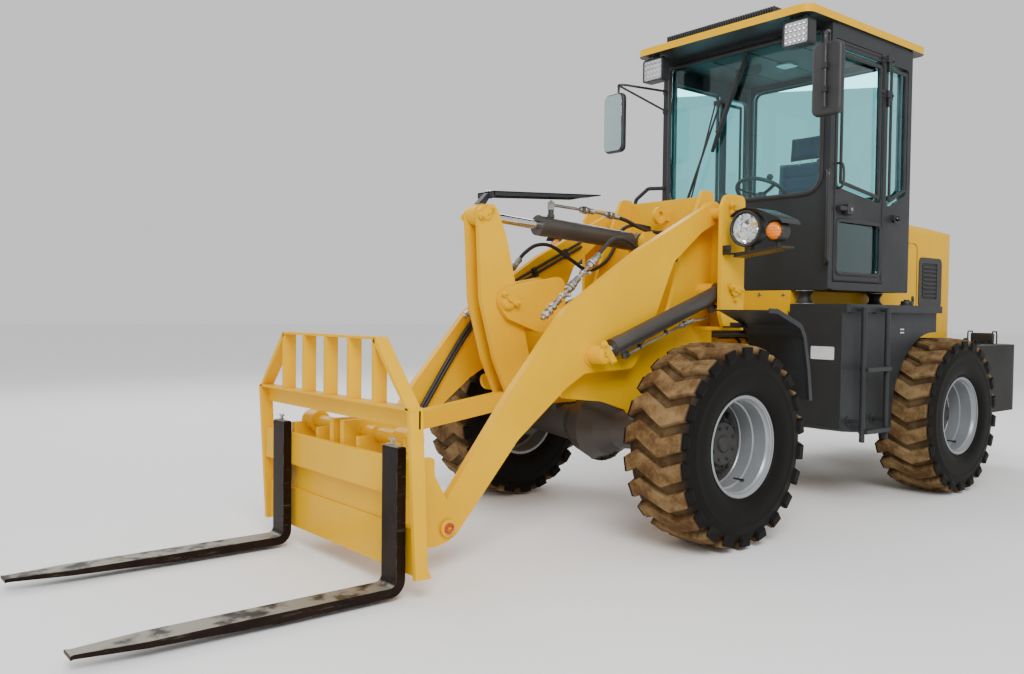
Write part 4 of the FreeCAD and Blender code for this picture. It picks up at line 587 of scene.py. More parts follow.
def circle(centre, first, second, radius, count):
    """Places round a circle on the plane of two unit vectors."""
    turns = [2 * pi * i / count for i in range(count)]
    return [centre + (first * cos(turn) + second * sin(turn)) * radius for turn in turns]


def spoke(turn):
    """A unit vector square to the axles, at a turn upwards from straight ahead."""
    return Vector((cos(turn), 0, sin(turn)))


def span(first, last, side):
    """Two distances from the middle, mirrored for the side and put in order."""
    return sorted((first * side, last * side))


class Shape:
    """The mesh of one piece, gathered from simple makes in the row frame."""

    def __init__(self):
        self.bm = bmesh.new()

    def rings(self, loops, closed=False, caps=True):
        """Joins loops of points, one after another, into a skin."""
        made = [[self.bm.verts.new(place) for place in loop] for loop in loops]
        pairs = list(zip(made, made[1:]))
        if closed:
            pairs.append((made[-1], made[0]))
        for one, two in pairs:
            count = len(one)
            for i in range(count):
                after = (i + 1) % count
                self.bm.faces.new((one[i], one[after], two[after], two[i]))
        if caps and not closed:
            self.bm.faces.new(list(reversed(made[0])))
            self.bm.faces.new(made[-1])
        return self

    def block(self, low, high, turn=None, about=None):
        """A box between two corners, turned about a place where a rotation is given."""
        low, high = Vector(low), Vector(high)
        corners = [Vector((x, y, z)) for z in (low.z, high.z)
                   for x, y in ((low.x, low.y), (high.x, low.y), (high.x, high.y), (low.x, high.y))]
        if turn is not None:
            about = Vector(about) if about is not None else (low + high) / 2
            corners = [about + turn @ (corner - about) for corner in corners]
        return self.rings([corners[:4], corners[4:]])

    def plate(self, outline, origin, across, upward, thickness):
        """An outline of (u, v) points on a plane through origin, thick along its normal."""
        across, upward = Vector(across), Vector(upward)
        normal = across.cross(upward).normalized()
        flat = [Vector(origin) + across * u + upward * v for u, v in outline]
        return self.rings([flat, [place + normal * thickness for place in flat]])

    def prism(self, outline, axis, depths):
        """An outline in millimetres on the other two axes, drawn between depths on this one."""
        return self.rings([[on_plane(axis, depth, u, v) for u, v in outline] for depth in depths])

    def lathe(self, profile, centre, axis, segments=48, closed=True):
        """Turns a profile of (along, radius) points about an axis."""
        centre, axis = Vector(centre), Vector(axis).normalized()
        first, second = axes_about(axis)
        loops = []
        for i in range(segments):
            turn = 2 * pi * i / segments
            aim = first * cos(turn) + second * sin(turn)
            loops.append([centre + axis * along + aim * radius for along, radius in profile])
        made = [[self.bm.verts.new(place) for place in loop] for loop in loops]
        steps = len(profile) if closed else len(profile) - 1
        for i in range(segments):
            one, two = made[i], made[(i + 1) % segments]
            for j in range(steps):
                after = (j + 1) % len(profile)
                self.bm.faces.new((one[j], two[j], two[after], one[after]))
        return self

    def tube(self, places, radius, sides=10, closed=False, flat=1.0, normal=None):
        """A tube along places; flat squeezes its section towards the given normal."""
        places = [Vector(place) for place in places]
        count = len(places)
        loops, across = [], None
        for i in range(count):
            before = places[i - 1] if (closed or i) else places[i]
            after = places[(i + 1) % count] if (closed or i < count - 1) else places[i]
            along = (after - before).normalized()
            if normal is not None:
                upward = Vector(normal).normalized()
                across = along.cross(upward).normalized()
            else:
                if across is None:
                    across = axes_about(along)[0]
                across = (across - along * across.dot(along)).normalized()
                upward = across.cross(along).normalized()
            loop = []
            for j in range(sides):
                turn = 2 * pi * (j + 0.5) / sides
                loop.append(places[i] + across * (radius * cos(turn))
                            + upward * (radius * flat * sin(turn)))
            loops.append(loop)
        return self.rings(loops, closed=closed)

    def rod(self, start, end, radius, sides=24, end_radius=None):
        """A round bar, with a small chamfer at both ends."""
        start, end = Vector(start), Vector(end)
        along = (end - start).normalized()
        first, second = axes_about(along)
        last = radius if end_radius is None else end_radius
        chamfer = min(0.002, radius * 0.15, (end - start).length * 0.2)
        loops = []
        for place, reach in ((start, radius - chamfer), (start + along * chamfer, radius),
                             (end - along * chamfer, last), (end, last - chamfer)):
            loops.append(circle(place, first, second, reach, sides))
        return self.rings(loops)

    def bolt(self, place, axis, size):
        """A hexagon head on a washer; size is the width across the flats."""
        place, axis = Vector(place), Vector(axis).normalized()
        self.rod(place, place + axis * size * 0.14, size * 0.78, 20)
        first, second = axes_about(axis)
        self.rings([circle(place + axis * size * lift, first, second, size * reach, 6)
                    for lift, reach in ((0.14, 0.58), (0.66, 0.58), (0.78, 0.5))])
        return self.rod(place + axis * size * 0.6, place + axis * size * 0.98, size * 0.3, 12)

    def bead(self, start, end, radius=0.005, pitch=0.008):
        """A weld bead of overlapping ripples between two places."""
        start, end = Vector(start), Vector(end)
        count = max(4, int((end - start).length / pitch) * 2)
        first, second = axes_about(end - start)
        return self.rings([circle(start + (end - start) * (i / count), first, second,
                                  radius * (1.0 if i % 2 else 0.8), 6)
                           for i in range(count + 1)])

    def piece(self, name, body, finish, slot=None, bevel=0.0, angle=35, about=None, levels=0):
        """Closes the mesh into an object with its finish and hangs it on its CAD body."""
        bmesh.ops.recalc_face_normals(self.bm, faces=self.bm.faces)
        mesh = bpy.data.meshes.new(name)
        if about is not None:
            bmesh.ops.translate(self.bm, verts=self.bm.verts, vec=-Vector(about))
        self.bm.to_mesh(mesh)
        self.bm.free()
        mesh.polygons.foreach_set("use_smooth", [True] * len(mesh.polygons))
        mesh.set_sharp_from_angle(angle=radians(angle))
        mesh.materials.append(finish)
        thing = placed(name, mesh)
        if about is not None:
            thing.location = Vector(about)
        if bevel:
            modifier = thing.modifiers.new("soft_edges", "BEVEL")
            modifier.width = bevel
            modifier.segments = 2
            modifier.limit_method = "ANGLE"
            modifier.angle_limit = radians(40)
            modifier.harden_normals = True
        if levels:
            smooth = thing.modifiers.new("smooth_form", "SUBSURF")
            smooth.levels = smooth.render_levels = levels
        if body:
            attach(thing, body)
        return thing


def rounded_loop(low_u, high_u, low_v, high_v, radii, steps=6):
    """Points round a rectangle; radii is one corner radius, or four from the lower left."""
    if not isinstance(radii, tuple):
        radii = (radii,) * 4
    corners = ((low_u, low_v, 180), (high_u, low_v, 270), (high_u, high_v, 0), (low_u, high_v, 90))
    inward = ((1, 1), (-1, 1), (-1, -1), (1, -1))
    points = []
    for (u, v, start), (du, dv), radius in zip(corners, inward, radii):
        centre_u, centre_v = u + du * radius, v + dv * radius
        for i in range(steps + 1):
            turn = radians(start + 90 * i / steps)
            points.append((centre_u + radius * cos(turn), centre_v + radius * sin(turn)))
    return points


def rounded_outline(corners, radius, steps=6):
    """Points round any outline, with its corners rounded by an even radius."""
    points = []
    count = len(corners)
    for i in range(count):
        here = Vector(corners[i])
        back = (Vector(corners[i - 1]) - here).normalized()
        ahead = (Vector(corners[(i + 1) % count]) - here).normalized()
        half = back.angle(ahead) / 2
        start, end = here + back * (radius / tan(half)), here + ahead * (radius / tan(half))
        centre = here + (back + ahead).normalized() * (radius / sin(half))
        first, last = start - centre, end - centre
        for step in range(steps + 1):
            points.append(centre + first.slerp(last, step / steps))
    return points


def smooth_line(places, count=40):
    """Points along a smooth curve that passes through every place."""
    places = [Vector(place) for place in places]
    padded = [places[0] * 2 - places[1]] + places + [places[-1] * 2 - places[-2]]
    points = []
    for i in range(1, len(padded) - 2):
        p0, p1, p2, p3 = padded[i - 1:i + 3]
        steps = max(2, count // (len(places) - 1))
        for step in range(steps):
            t = step / steps
            points.append(0.5 * (2 * p1 + (p2 - p0) * t + (2 * p0 - 5 * p1 + 4 * p2 - p3) * t * t
                                 + (3 * p1 - p0 - 3 * p2 + p3) * t ** 3))
    points.append(places[-1])
    return points


def slab(shape, low, high):
    """A box between two places in millimetres on the machine's own axes."""
    return shape.block(at(*low), at(*high))


# ------------------------------------------------------------------ finishes of the CAD nodes

NODE_FINISHES = {
    "body_yellow": YELLOW_PAINT, "frame_black": GREY_PAINT, "cab_grey": GREY_PAINT,
    "tyre": TYRE_RUBBER, "rim": RIM_PAINT, "glass": CAB_GLASS, "chrome": PLATED_ROD,
    "plastic": BLACK_PLASTIC, "seat": SEAT_FABRIC, "steel": WORN_FORK, "cast": CAST_PAINT,
}
NODE_OVERRIDES = {node: finish for finish, nodes in (
    (BARREL_PAINT, "lift_barrel_left lift_barrel_right tilt_barrel steering_barrel front_axle rear_axle"),
    (CAST_PAINT, "counterweight"),
    (HEAT_STEEL, "exhaust"),
    (BLACK_PLASTIC, "mirrors"),
    (BLACK_PAINT, "handrails"),
    (DARK_MESH, "hood_grilles"),
    (WORN_FORK, "fork_left fork_right"),
    (YELLOW_PAINT, "bellcrank_pin link_pin tip_pins tilt_base_pin"),
) for node in nodes.split()}


def finish_frame():
    """Gives every CAD node its finish, by its slot in the record."""
    slots = {row["node"]: row["material_slot"] for row in frame["record"]["subparts"]}
    for node, thing in frame["nodes"].items():
        finish = NODE_OVERRIDES.get(node) or NODE_FINISHES[slots[node]]
        thing.data.materials.clear()
        thing.data.materials.append(finish)
    # the roof's underside is the dark headliner's grey
    roof = frame["nodes"]["cab_roof"].data
    roof.materials.append(GREY_PAINT)
    for face in roof.polygons:
        if face.normal.z < -0.5:
            face.material_index = 1
    # the eyes of the plated rods are painted
    for node, pin in (("tilt_rod", TILT_EYE), ("lift_rod_left", LIFT_EYE), ("lift_rod_right", LIFT_EYE)):
        mesh, eye = frame["nodes"][node].data, on_pin(pin, 0)
        mesh.materials.append(YELLOW_PAINT)
        for face in mesh.polygons:
            if hypot(face.center.x - eye.x, face.center.z - eye.z) < 0.062:
                face.material_index = 1


finish_frame()


# ------------------------------------------------------------------ wheels

LUGS = 22
HALF_TREAD = 0.196
LUG_DEPTH = 0.034
CROWN_DROP = 0.012
# half width of a lug in shares of the pitch, and how much wider its foot stands
LUG_HALF, LUG_FOOT = 0.305, 0.01


def tyre_piece(name, node, body, side):
    """The tyre: a carcass and broad zigzag lugs that run over its shoulders."""
    hub = middle_of(node)
    out = Vector((0, side, 0))
    shape = Shape()
    base = TYRE_RADIUS - LUG_DEPTH
    half = [
        (0.0, base), (0.1, base - 0.003), (0.165, base - 0.012), (0.184, base - 0.03),
        (0.192, base - 0.062), (0.196, base - 0.085), (0.1975, base - 0.09), (0.196, base - 0.096),
        (0.198, base - 0.13), (0.197, base - 0.17), (0.188, base - 0.205), (0.176, base - 0.222),
        (0.178, base - 0.228), (0.168, base - 0.238), (0.16, 0.262),
    ]
    profile = half + [(0.12, 0.259), (-0.12, 0.259)]
    profile += [(-along, reach) for along, reach in reversed(half[1:])]
    shape.lathe(profile, hub, out, 132)
    pitch = 2 * pi / LUGS
    # centre line and half width of a lug across the tread, in shares of the pitch
    line = ((-1.0, 0.1), (-0.52, -0.2), (0.28, 0.34), (1.0, 0.02))
    stations = (-1.0, -0.86, -0.7, -0.52, -0.34, -0.12, 0.08, 0.28, 0.42, 0.6, 0.8, 0.92, 1.0)
    reach_in = base - 0.006

    def lean(w):
        for (w0, v0), (w1, v1) in zip(line, line[1:]):
            if w <= w1:
                return v0 + (v1 - v0) * (w - w0) / (w1 - w0)
        return line[-1][1]

    def place(along, reach, turn):
        return hub + out * along + Vector((sin(turn), 0, cos(turn))) * reach

    for lug in range(LUGS):
        turn0 = pitch * lug
        loops = []
        for w in stations:
            along = HALF_TREAD * w * 0.955
            drop = CROWN_DROP * w * w + (0.01 if abs(w) > 0.95 else 0.0)
            top = TYRE_RADIUS - 0.0005 - drop
            middle = turn0 + pitch * lean(w)
            narrow = pitch * (LUG_HALF - 0.02 * abs(w))
            wide = narrow + LUG_FOOT
            loops.append([place(along, reach, middle + turn) for reach, turn in (
                (reach_in - drop, -wide), (top - 0.003, -narrow), (top, 0.004 - narrow),
                (top, narrow - 0.004), (top - 0.003, narrow), (reach_in - drop, wide))])
        # the lug's ends run down over the shoulder
        for end, w in ((0, -1.0), (-1, 1.0)):
            middle = turn0 + pitch * lean(w)
            ends = []
            for along_end, drop_end, thick in ((0.1935, 0.02, 0.26), (0.199, 0.062, 0.2)):
                narrow = pitch * thick
                reach = TYRE_RADIUS - drop_end
                inner = reach - 0.026
                ends.append([place(copysign(along_end - sink, w), radius, middle + turn)
                             for radius, turn, sink in (
                                 (inner, -narrow - 0.012, 0.012), (reach, -narrow, 0.0),
                                 (reach, 0.01 - narrow, 0.0), (reach, narrow - 0.01, 0.0),
                                 (reach, narrow, 0.0), (inner, narrow + 0.012, 0.012))])
            if end == 0:
                loops = list(reversed(ends)) + loops
            else:
                loops = loops + ends
        shape.rings(loops)
    tyre = shape.piece(name, body, TYRE_RUBBER, "tyre", angle=28, about=hub)
    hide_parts(node)
    return tyre


def wheel_centre(node, body, side, prefix):
    """The dished rim, its lock ring, the drive hub and their bolts."""
    hub = middle_of(node.replace("rim", "tyre"))
    out = Vector((0, side, 0))
    rim, disc, lock, drive, valve = Shape(), Shape(), Shape(), Shape(), Shape()
    barrel = [
        (0.168, 0.2715), (0.1675, 0.266), (0.16, 0.258), (0.14, 0.2575), (-0.15, 0.2575), (-0.157, 0.259),
        (-0.1575, 0.2715), (-0.166, 0.2715), (-0.168, 0.25), (-0.06, 0.243), (-0.06, 0.2245),
        (-0.038, 0.2245), (0.06, 0.2275), (0.064, 0.236), (0.138, 0.24), (0.146, 0.247), (0.16, 0.251),
        (0.168, 0.262),
    ]
    dish = [(-0.06, 0.15), (-0.045, 0.15), (-0.045, 0.2), (-0.03, 0.212), (-0.026, 0.224), (-0.06, 0.224),
            (-0.06, 0.205)]
    weld = [(-0.03, 0.2255), (-0.024, 0.2215), (-0.018, 0.2215), (-0.012, 0.226)]
    ring = [(0.1685, 0.27), (0.1735, 0.265), (0.1745, 0.26), (0.1715, 0.256), (0.1655, 0.2585),
            (0.164, 0.268)]
    cover = [
        (-0.155, 0), (-0.155, 0.14), (-0.06, 0.17), (-0.044, 0.17), (-0.04, 0.152), (0, 0.149),
        (0.008, 0.144), (0.016, 0.122), (0.02, 0.118), (0.034, 0.117), (0.04, 0.111), (0.04, 0.046),
        (0.05, 0.042), (0.054, 0.036), (0.054, 0),
    ]
    rim.lathe(barrel, hub, out, 96)
    rim.lathe(weld, hub, out, 96)
    disc.lathe(dish, hub, out, 96)
    lock.lathe(ring, hub, out, 96)
    drive.lathe(cover, hub, out, 64, closed=False)
    for count, reach, lift, size in ((12, 0.19, -0.046, 0.027), (12, 0.134, 0.009, 0.017),
                                     (8, 0.088, 0.039, 0.014)):
        for i in range(count):
            aim = spoke(2 * pi * (i + 0.5) / count)
            drive.bolt(hub + out * lift + aim * reach, out, size)
    stem = hub + spoke(4.2) * 0.226
    valve.rod(stem + out * 0.03, stem + out * 0.09, 0.005, 10)
    valve.rod(stem + out * 0.078, stem + out * 0.094, 0.0065, 10)
    disc.piece(prefix + "_disc", body, HUB_PAINT, "cast")
    wheel = rim.piece(prefix + "_rim", body, RIM_PAINT, "rim", angle=30)
    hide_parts(node)
    lock.piece(prefix + "_lock_ring", body, RIM_PAINT, "rim", angle=40)
    drive.piece(prefix + "_drive_hub", body, HUB_PAINT, "cast")
    valve.piece(prefix + "_valve", body, BLACK_RUBBER, "plastic")


def wheels():
    """All four wheels, each on its own body."""
    for end in ("front", "rear"):
        for side_name, side in SIDES:
            body = f"wheel_{end}_{side_name}"
            tyre_piece(f"{end}_{side_name}_tyre", f"tyre_{end}_{side_name}", body, side)
            wheel_centre(f"rim_{end}_{side_name}", body, side, f"{end}_{side_name}")


wheels()


# ------------------------------------------------------------------ cab, outside

def window_seals():
    """The rubber sections pressed round the fixed windows, the door's two panes and its edge."""
    quarter = rounded_outline([(-2334, 2090), (-2052, 1965), (-2052, 2960), (-2334, 2960)], 40)
    upper = rounded_outline([(-1985, 1990), (-1430, 2060), (-1430, 2955), (-1985, 2955)], 40)
    windscreen = rounded_loop(-640, 640, 2020, 3065, (120, 120, 40, 40))
    right = rounded_loop(-1990, -1415, 2030, 2968, (40, 40, 30, 30))
    thick, plain, thin = 0.016, 0.013, 0.009
    for name, body, axis, depth, outline, radius in (
            ("windscreen_seal", REAR, "X", CAB_FRONT, windscreen, thick),
            ("rear_window_seal", REAR, "X", CAB_REAR, rounded_loop(-612, 612, 2090, 3030, 60), plain),
            ("quarter_seal_left", REAR, "Y", CAB_SIDE, quarter, plain),
            ("quarter_seal_right", REAR, "Y", -CAB_SIDE, quarter, plain),
            ("right_window_seal", REAR, "Y", -CAB_SIDE, right, plain),
            ("door_upper_seal", "door", "Y", CAB_SIDE, upper, plain),
            ("door_lower_seal", "door", "Y", CAB_SIDE, rounded_loop(-1985, -1430, 1500, 1850, 40), plain),
            ("door_edge_seal", "door", "Y", CAB_SIDE, rounded_loop(-2006, -1406, 1461, 2989, 14, 3), thin)):
        loop = [on_plane(axis, depth, u, v) for u, v in outline]
        section = Shape().tube(loop, radius, 8, True, 0.7, X_AXIS if axis == "X" else Y_AXIS)
        section.piece(name, body, BLACK_RUBBER)


def door_furniture():
    """The door's latch case with its lever, the pull, the hinge bolts and the catch."""
    case = Shape().block(at(-1572, CAB_SIDE, 1884), at(-1500, 745, 1952))
    case.block(at(-1502, 727, 1908), at(-1418, 740, 1934))
    case.piece("door_latch_case", "door", BLACK_PLASTIC, bevel=0.005)
    Shape().rod(at(-1537, 744, 1918), at(-1537, 751, 1918), 0.012, 20).piece(
        "door_latch_lock", "door", ZINC_STEEL)
    pull = smooth_line([at(-1424, CAB_SIDE, 2210), at(-1424, 742, 2200), at(-1424, 752, 2130),
                        at(-1424, 742, 2060), at(-1424, CAB_SIDE, 2050)], 24)
    Shape().tube(pull, 0.008, 10).piece("door_pull", "door", BLACK_PLASTIC)
    bolts = Shape()
    for z in (2723, 2960):
        for x in (-1982, -1958):
            bolts.bolt(at(x, 710, z + 22), Y_AXIS, 0.013)
    bolts.piece("door_hinge_bolts", "door", BLACK_PAINT)
    leaves = Shape()
    for z in (2723, 2960):
        leaves.block(at(-2110, CAB_SIDE, z - 4), at(-2066, 707, z + 49))
        for x in (-2099, -2077):
            leaves.bolt(at(x, 707, z + 22), Y_AXIS, 0.013)
    leaves.piece("door_hinge_leaves", REAR, BLACK_PAINT, bevel=0.001)
    catch = Shape().lathe([(0, 0), (0, 0.027), (0.02, 0.027), (0.026, 0.018), (0.052, 0.018),
                           (0.06, 0.01), (0.06, 0)], at(-2155, CAB_SIDE, 1904), Y_AXIS, 24, False)
    catch.piece("door_catch", REAR, BLACK_RUBBER)
    Shape().rod(at(-2186, 746, 1904), at(-2124, 746, 1904), 0.005, 10).piece(
        "door_catch_pin", REAR, ZINC_STEEL)


def wiper():
    """The windscreen wiper: a linked pair of arms and a blade on their upper end."""
    root, joint = at(-1322, -495, 1936), at(-1322, -158, 2727)
    arm_shape = Shape().lathe([(0, 0), (0, 0.03), (0.02, 0.03), (0.03, 0.02), (0.034, 0)],
                              at(-1342, -495, 1936), X_AXIS, 24, False)
    arm_shape.block(at(-1342, -525, 1900), at(-1330, -430, 1972))
    arm_shape.rod(root, joint, 0.011, 12, 0.007)
    arm_shape.rod(at(-1318, -442, 1944), at(-1316, -196, 2722), 0.006, 12)
    arm_shape.block(at(-1328, -206, 2712), at(-1308, -144, 2742))
    arm_shape.piece("wiper_arms", REAR, BLACK_PAINT, bevel=0.001)
    low, high = at(-1340, -238, 2392), at(-1340, 56, 3042)
    along = (high - low).normalized()
    across = along.cross(X_AXIS).normalized()
    spine = Shape()
    count = 24
    loops = []
    for i in range(count + 1):
        share = i / count
        middle = low.lerp(high, share)
        half = 0.006 + 0.012 * sin(pi * share)
        lift = 0.012 + 0.012 * sin(pi * share)
        loops.append([middle + across * half, middle + across * half * 0.6 + X_AXIS * lift,
                      middle - across * half * 0.6 + X_AXIS * lift, middle - across * half])
    spine.rings(loops)
    for share in (0.2, 0.5, 0.8):
        middle = low.lerp(high, share)
        spine.rod(middle - across * 0.02 + X_AXIS * 0.016, middle + across * 0.02 + X_AXIS * 0.016,
                  0.006, 8)
    spine.rod(joint, low.lerp(high, 0.5) + X_AXIS * 0.012, 0.008, 10)
    spine.piece("wiper_blade", REAR, BLACK_RUBBER)
    lip = Shape()
    lip.rings([[place - across * 0.0015, place + across * 0.0015,
                place + across * 0.0015 - X_AXIS * 0.022, place - across * 0.0015 - X_AXIS * 0.022]
               for place in (low, high)])
    lip.piece("wiper_lip", REAR, BLACK_RUBBER)


def soft_case(shape, low, high, corner, round_over, axis="X"):
    """A moulded case: a rounded rectangle in section whose two ends are rounded over."""
    low, high = Vector(low), Vector(high)
    if axis == "X":
        along, first, second, order = 0, 1, 2, lambda depth, u, v: (depth, u, v)
    else:
        along, first, second, order = 2, 0, 1, lambda depth, u, v: (u, v, depth)
    turns = [pi / 2 * i / 5 for i in range(5, -1, -1)]
    stations = [(low[along] + round_over * (1 - sin(turn)), round_over * (1 - cos(turn)))
                for turn in turns]
    stations += [(low[along] + high[along] - depth, inset) for depth, inset in reversed(stations)]
    loops = []
    for depth, inset in stations:
        outline = rounded_loop(low[first] + inset, high[first] - inset, low[second] + inset,
                               high[second] - inset, max(corner - inset, 0.001))
        loops.append([Vector(order(depth, u, v)) for u, v in outline])
    return shape.rings(loops)


def mirrors():
    """Both door mirrors: moulded heads, silvered glass, bent tube arms and a clamp."""
    for name, side in SIDES:
        y_low, y_high = span(780, 980, side)
        head = soft_case(Shape(), at(-1030, y_low, 2424), at(-982, y_high, 2864), 0.045, 0.02)
        thing = head.piece("mirror_head_" + name, REAR, BLACK_PLASTIC)
        if name == "left":
            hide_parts("mirrors")
        # the left mirror's glass faces back and the right one's faces ahead
        face_x, glass_x = (-1032, -1035) if side > 0 else (-980, -977)
        glass = rounded_loop(y_low + 12, y_high - 12, 2438, 2850, 36)
        pane = Shape().prism(glass, "X", (face_x, glass_x))
        pane.piece("mirror_glass_" + name, REAR, MIRROR_GLASS)
        arms = Shape()
        reach_x = -968 if side > 0 else -1042
        bow = ((-1342, 672, 2900), (-1180, 772, 2921), (-1040, 862, 2936), (reach_x, 884, 2905),
               (reach_x, 884, 2800), (reach_x, 884, 2470))
        arms.tube(smooth_line([at(x, y * side, z) for x, y, z in bow]), 0.009, 10)
        arms.rod(at(-1342, 672 * side, 2750), at(-1035, 865 * side, 2925), 0.008, 12)
        for z in (2880, 2735):
            arms.block(at(-1348, 640 * side, z), at(-1336, 704 * side, z + 40))
            arms.bolt(at(-1336, 690 * side, z + 20), X_AXIS, 0.011)
        for z in (2560, 2700):
            arms.block(at(reach_x - 14, 866 * side, z), at(reach_x + 14, 902 * side, z + 34))
        arms.piece("mirror_arms_" + name, REAR, BLACK_PAINT, bevel=0.002)


def work_light_faces():
    """The faces of the two square work lights: a rim, a lens and rows of small reflectors."""
    for name, side in SIDES:
        y_low, y_high = span(500, 690, side)
        rim = Shape()
        outer = rounded_loop(y_low, y_high, 2920, 3085, 20)
        inner = rounded_loop(y_low + 11, y_high - 11, 2931, 3074, 12)
        loops = [[at(x, u, v) for u, v in outline] for x, outline in
                 ((-1100, outer), (-1092, outer), (-1090, inner), (-1098, inner))]
        rim.rings(loops, closed=True).piece("work_light_rim_" + name, REAR, BLACK_PLASTIC)
        plate = rounded_loop(y_low + 10, y_high - 10, 2930, 3075, 12)
        backing = Shape().prism(plate, "X", (-1099.5, -1098))
        backing.piece("work_light_plate_" + name, REAR, BARE_PLATE)
        bowls = Shape()
        for row in range(4):
            for column in range(5):
                middle = at(-1098, y_low + 31 + 32 * column, 2951 + 34 * row)
                bowls.lathe([(0, 0.013), (0.006, 0.014), (0.006, 0.011), (0.001, 0.004)],
                            middle, X_AXIS, 14)
        bowls.piece("work_light_bowls_" + name, REAR, PLATED_ROD)
        stay = Shape()
        y_mid = 595 * side
        for offset in (-62, 62):
            stay.block(at(-1150, y_mid + offset - 4, 3040), at(-1118, y_mid + offset + 4, 3100))
        stay.piece("work_light_stays_" + name, REAR, BLACK_PAINT, bevel=0.001)


def roof_trim():
    """The ribbed intake along the front of the roof and the screws of its edge."""
    ribs = Shape()
    for i in range(46):
        y = -440 + 880 * i / 45
        ribs.block(at(-1150, y - 4, 3156), at(-1072, y + 4, 3203))
    ribs.piece("roof_intake_ribs", REAR, BLACK_PLASTIC)
    screws = Shape()
    for y in (-560, -300, 0, 300, 560):
        screws.bolt(at(CAB_FRONT, y, 3090), X_AXIS, 0.012)
    screws.piece("cab_header_screws", REAR, BLACK_PAINT)


# ------------------------------------------------------------------ lamps

def headlamps():
    """Headlamps with facetted bowls, two-sided amber lamps, their sheet hoods and brackets."""
    shells, bowls, glasses, ambers, brackets = Shape(), Shape(), Shape(), Shape(), Shape()
    shell = [(0, 0), (0.002, 0.05), (0.03, 0.078), (0.1, 0.1), (0.146, 0.106), (0.158, 0.104),
             (0.16, 0.096), (0.15, 0.09), (0.15, 0.086)]
    amber_rim = [(0.01, 0.05), (0.004, 0.056), (0.01, 0.061), (0.08, 0.061), (0.086, 0.056), (0.08, 0.05)]
    facets = ((0.146, 0.086), (0.124, 0.078), (0.102, 0.062), (0.086, 0.04), (0.08, 0.016))
    bulb = [(0.08, 0.018), (0.112, 0.015), (0.126, 0.012), (0.13, 0)]
    glass = [(0.15, 0.089), (0.157, 0.06), (0.161, 0.03), (0.162, 0.001), (0.158, 0.001), (0.157, 0.03),
             (0.153, 0.06), (0.146, 0.089)]
    front_lens = [(0.08, 0.05), (0.092, 0.046), (0.1, 0.036), (0.104, 0.02), (0.105, 0)]
    rear_lens = [(0.01, 0.05), (-0.004, 0.046), (-0.012, 0.036), (-0.016, 0.02), (-0.017, 0)]
    hood = ((628, 1795), (672, 1824), (735, 1836), (806, 1826), (900, 1790), (962, 1762), (978, 1738))
    bar = ((640, 1586), (905, 1608), (965, 1614), (965, 1602), (905, 1594), (640, 1560))
    for side in WAYS:
        lamp, amber = at(-570, 735 * side, 1720), at(-530, 905 * side, 1700)
        shells.lathe(shell, lamp, X_AXIS, 48, False)
        shells.lathe(amber_rim, amber, X_AXIS, 36)
        sheet = [(u * side, v) for u, v in hood] + [(u * side, v + 5) for u, v in reversed(hood)]
        shells.prism(sheet, "X", (-414, -600))
        for facet in zip(facets, facets[1:]):
            bowls.lathe(facet, lamp, X_AXIS, 18, False)
        bowls.lathe(bulb, lamp, X_AXIS, 16, False)
        glasses.lathe(glass, lamp, X_AXIS, 36)
        ambers.lathe(front_lens, amber, X_AXIS, 32, False)
        ambers.lathe(rear_lens, amber, X_AXIS, 32, False)
        y_low, y_high = span(586, 640, side)
        brackets.block(at(-500, y_low, 1578), at(-410, y_high, 1586))
        brackets.block(at(-418, y_low, 1574), at(-408, y_high, 1630))
        for y in (600, 626):
            brackets.bolt(at(-408, y * side, 1606), X_AXIS, 0.012)
        brackets.prism([(u * side, v) for u, v in bar], "X", (-440, -560))
        brackets.rod(at(-500, 735 * side, 1600), at(-500, 735 * side, 1632), 0.016, 16)
        brackets.rod(at(-490, 905 * side, 1606), at(-490, 905 * side, 1644), 0.011, 16)
    shells.piece("headlamp_shells", FRONT, BLACK_PLASTIC)
    bowls.piece("headlamp_bowls", FRONT, REFLECTOR, angle=8)
    glasses.piece("headlamp_glasses", FRONT, LAMP_GLASS)
    ambers.piece("amber_lenses", FRONT, AMBER_LENS)
    frames = brackets.piece("lamp_brackets", FRONT, BLACK_PAINT, bevel=0.001)
    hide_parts("headlamps")


# ------------------------------------------------------------------ pins and bolts

def pin_end(shape, place, outward, radius, turn, strap=True):
    """The end of a pin: its rounded head, a keeper strap with two bolts and a grease nipple."""
    place = Vector(place)
    shape.lathe([(0, radius + 0.006), (0.008, radius + 0.006), (0.011, radius + 0.001),
                 (0.011, radius * 0.35), (0.005, radius * 0.3), (0.005, 0)], place, outward, 32, False)
    shape.lathe([(0.005, 0.006), (0.014, 0.006), (0.016, 0.003), (0.02, 0.004), (0.022, 0)],
                place, outward, 10, False)
    if strap:
        along = spoke(turn)
        across = Vector((-sin(turn), 0, cos(turn)))
        reach = radius + 0.034
        outline = rounded_loop(-reach, reach, -0.02, 0.02, 0.018)
        middle = place + across * (radius * 0.55)
        flat = [middle + along * u + across * v for u, v in outline]
        shape.rings([[p + outward * 0.009 for p in flat], [p + outward * 0.017 for p in flat]])
        for way in (-1, 1):
            shape.bolt(middle + along * way * (reach - 0.018) + outward * 0.017, outward, 0.019)
    return shape


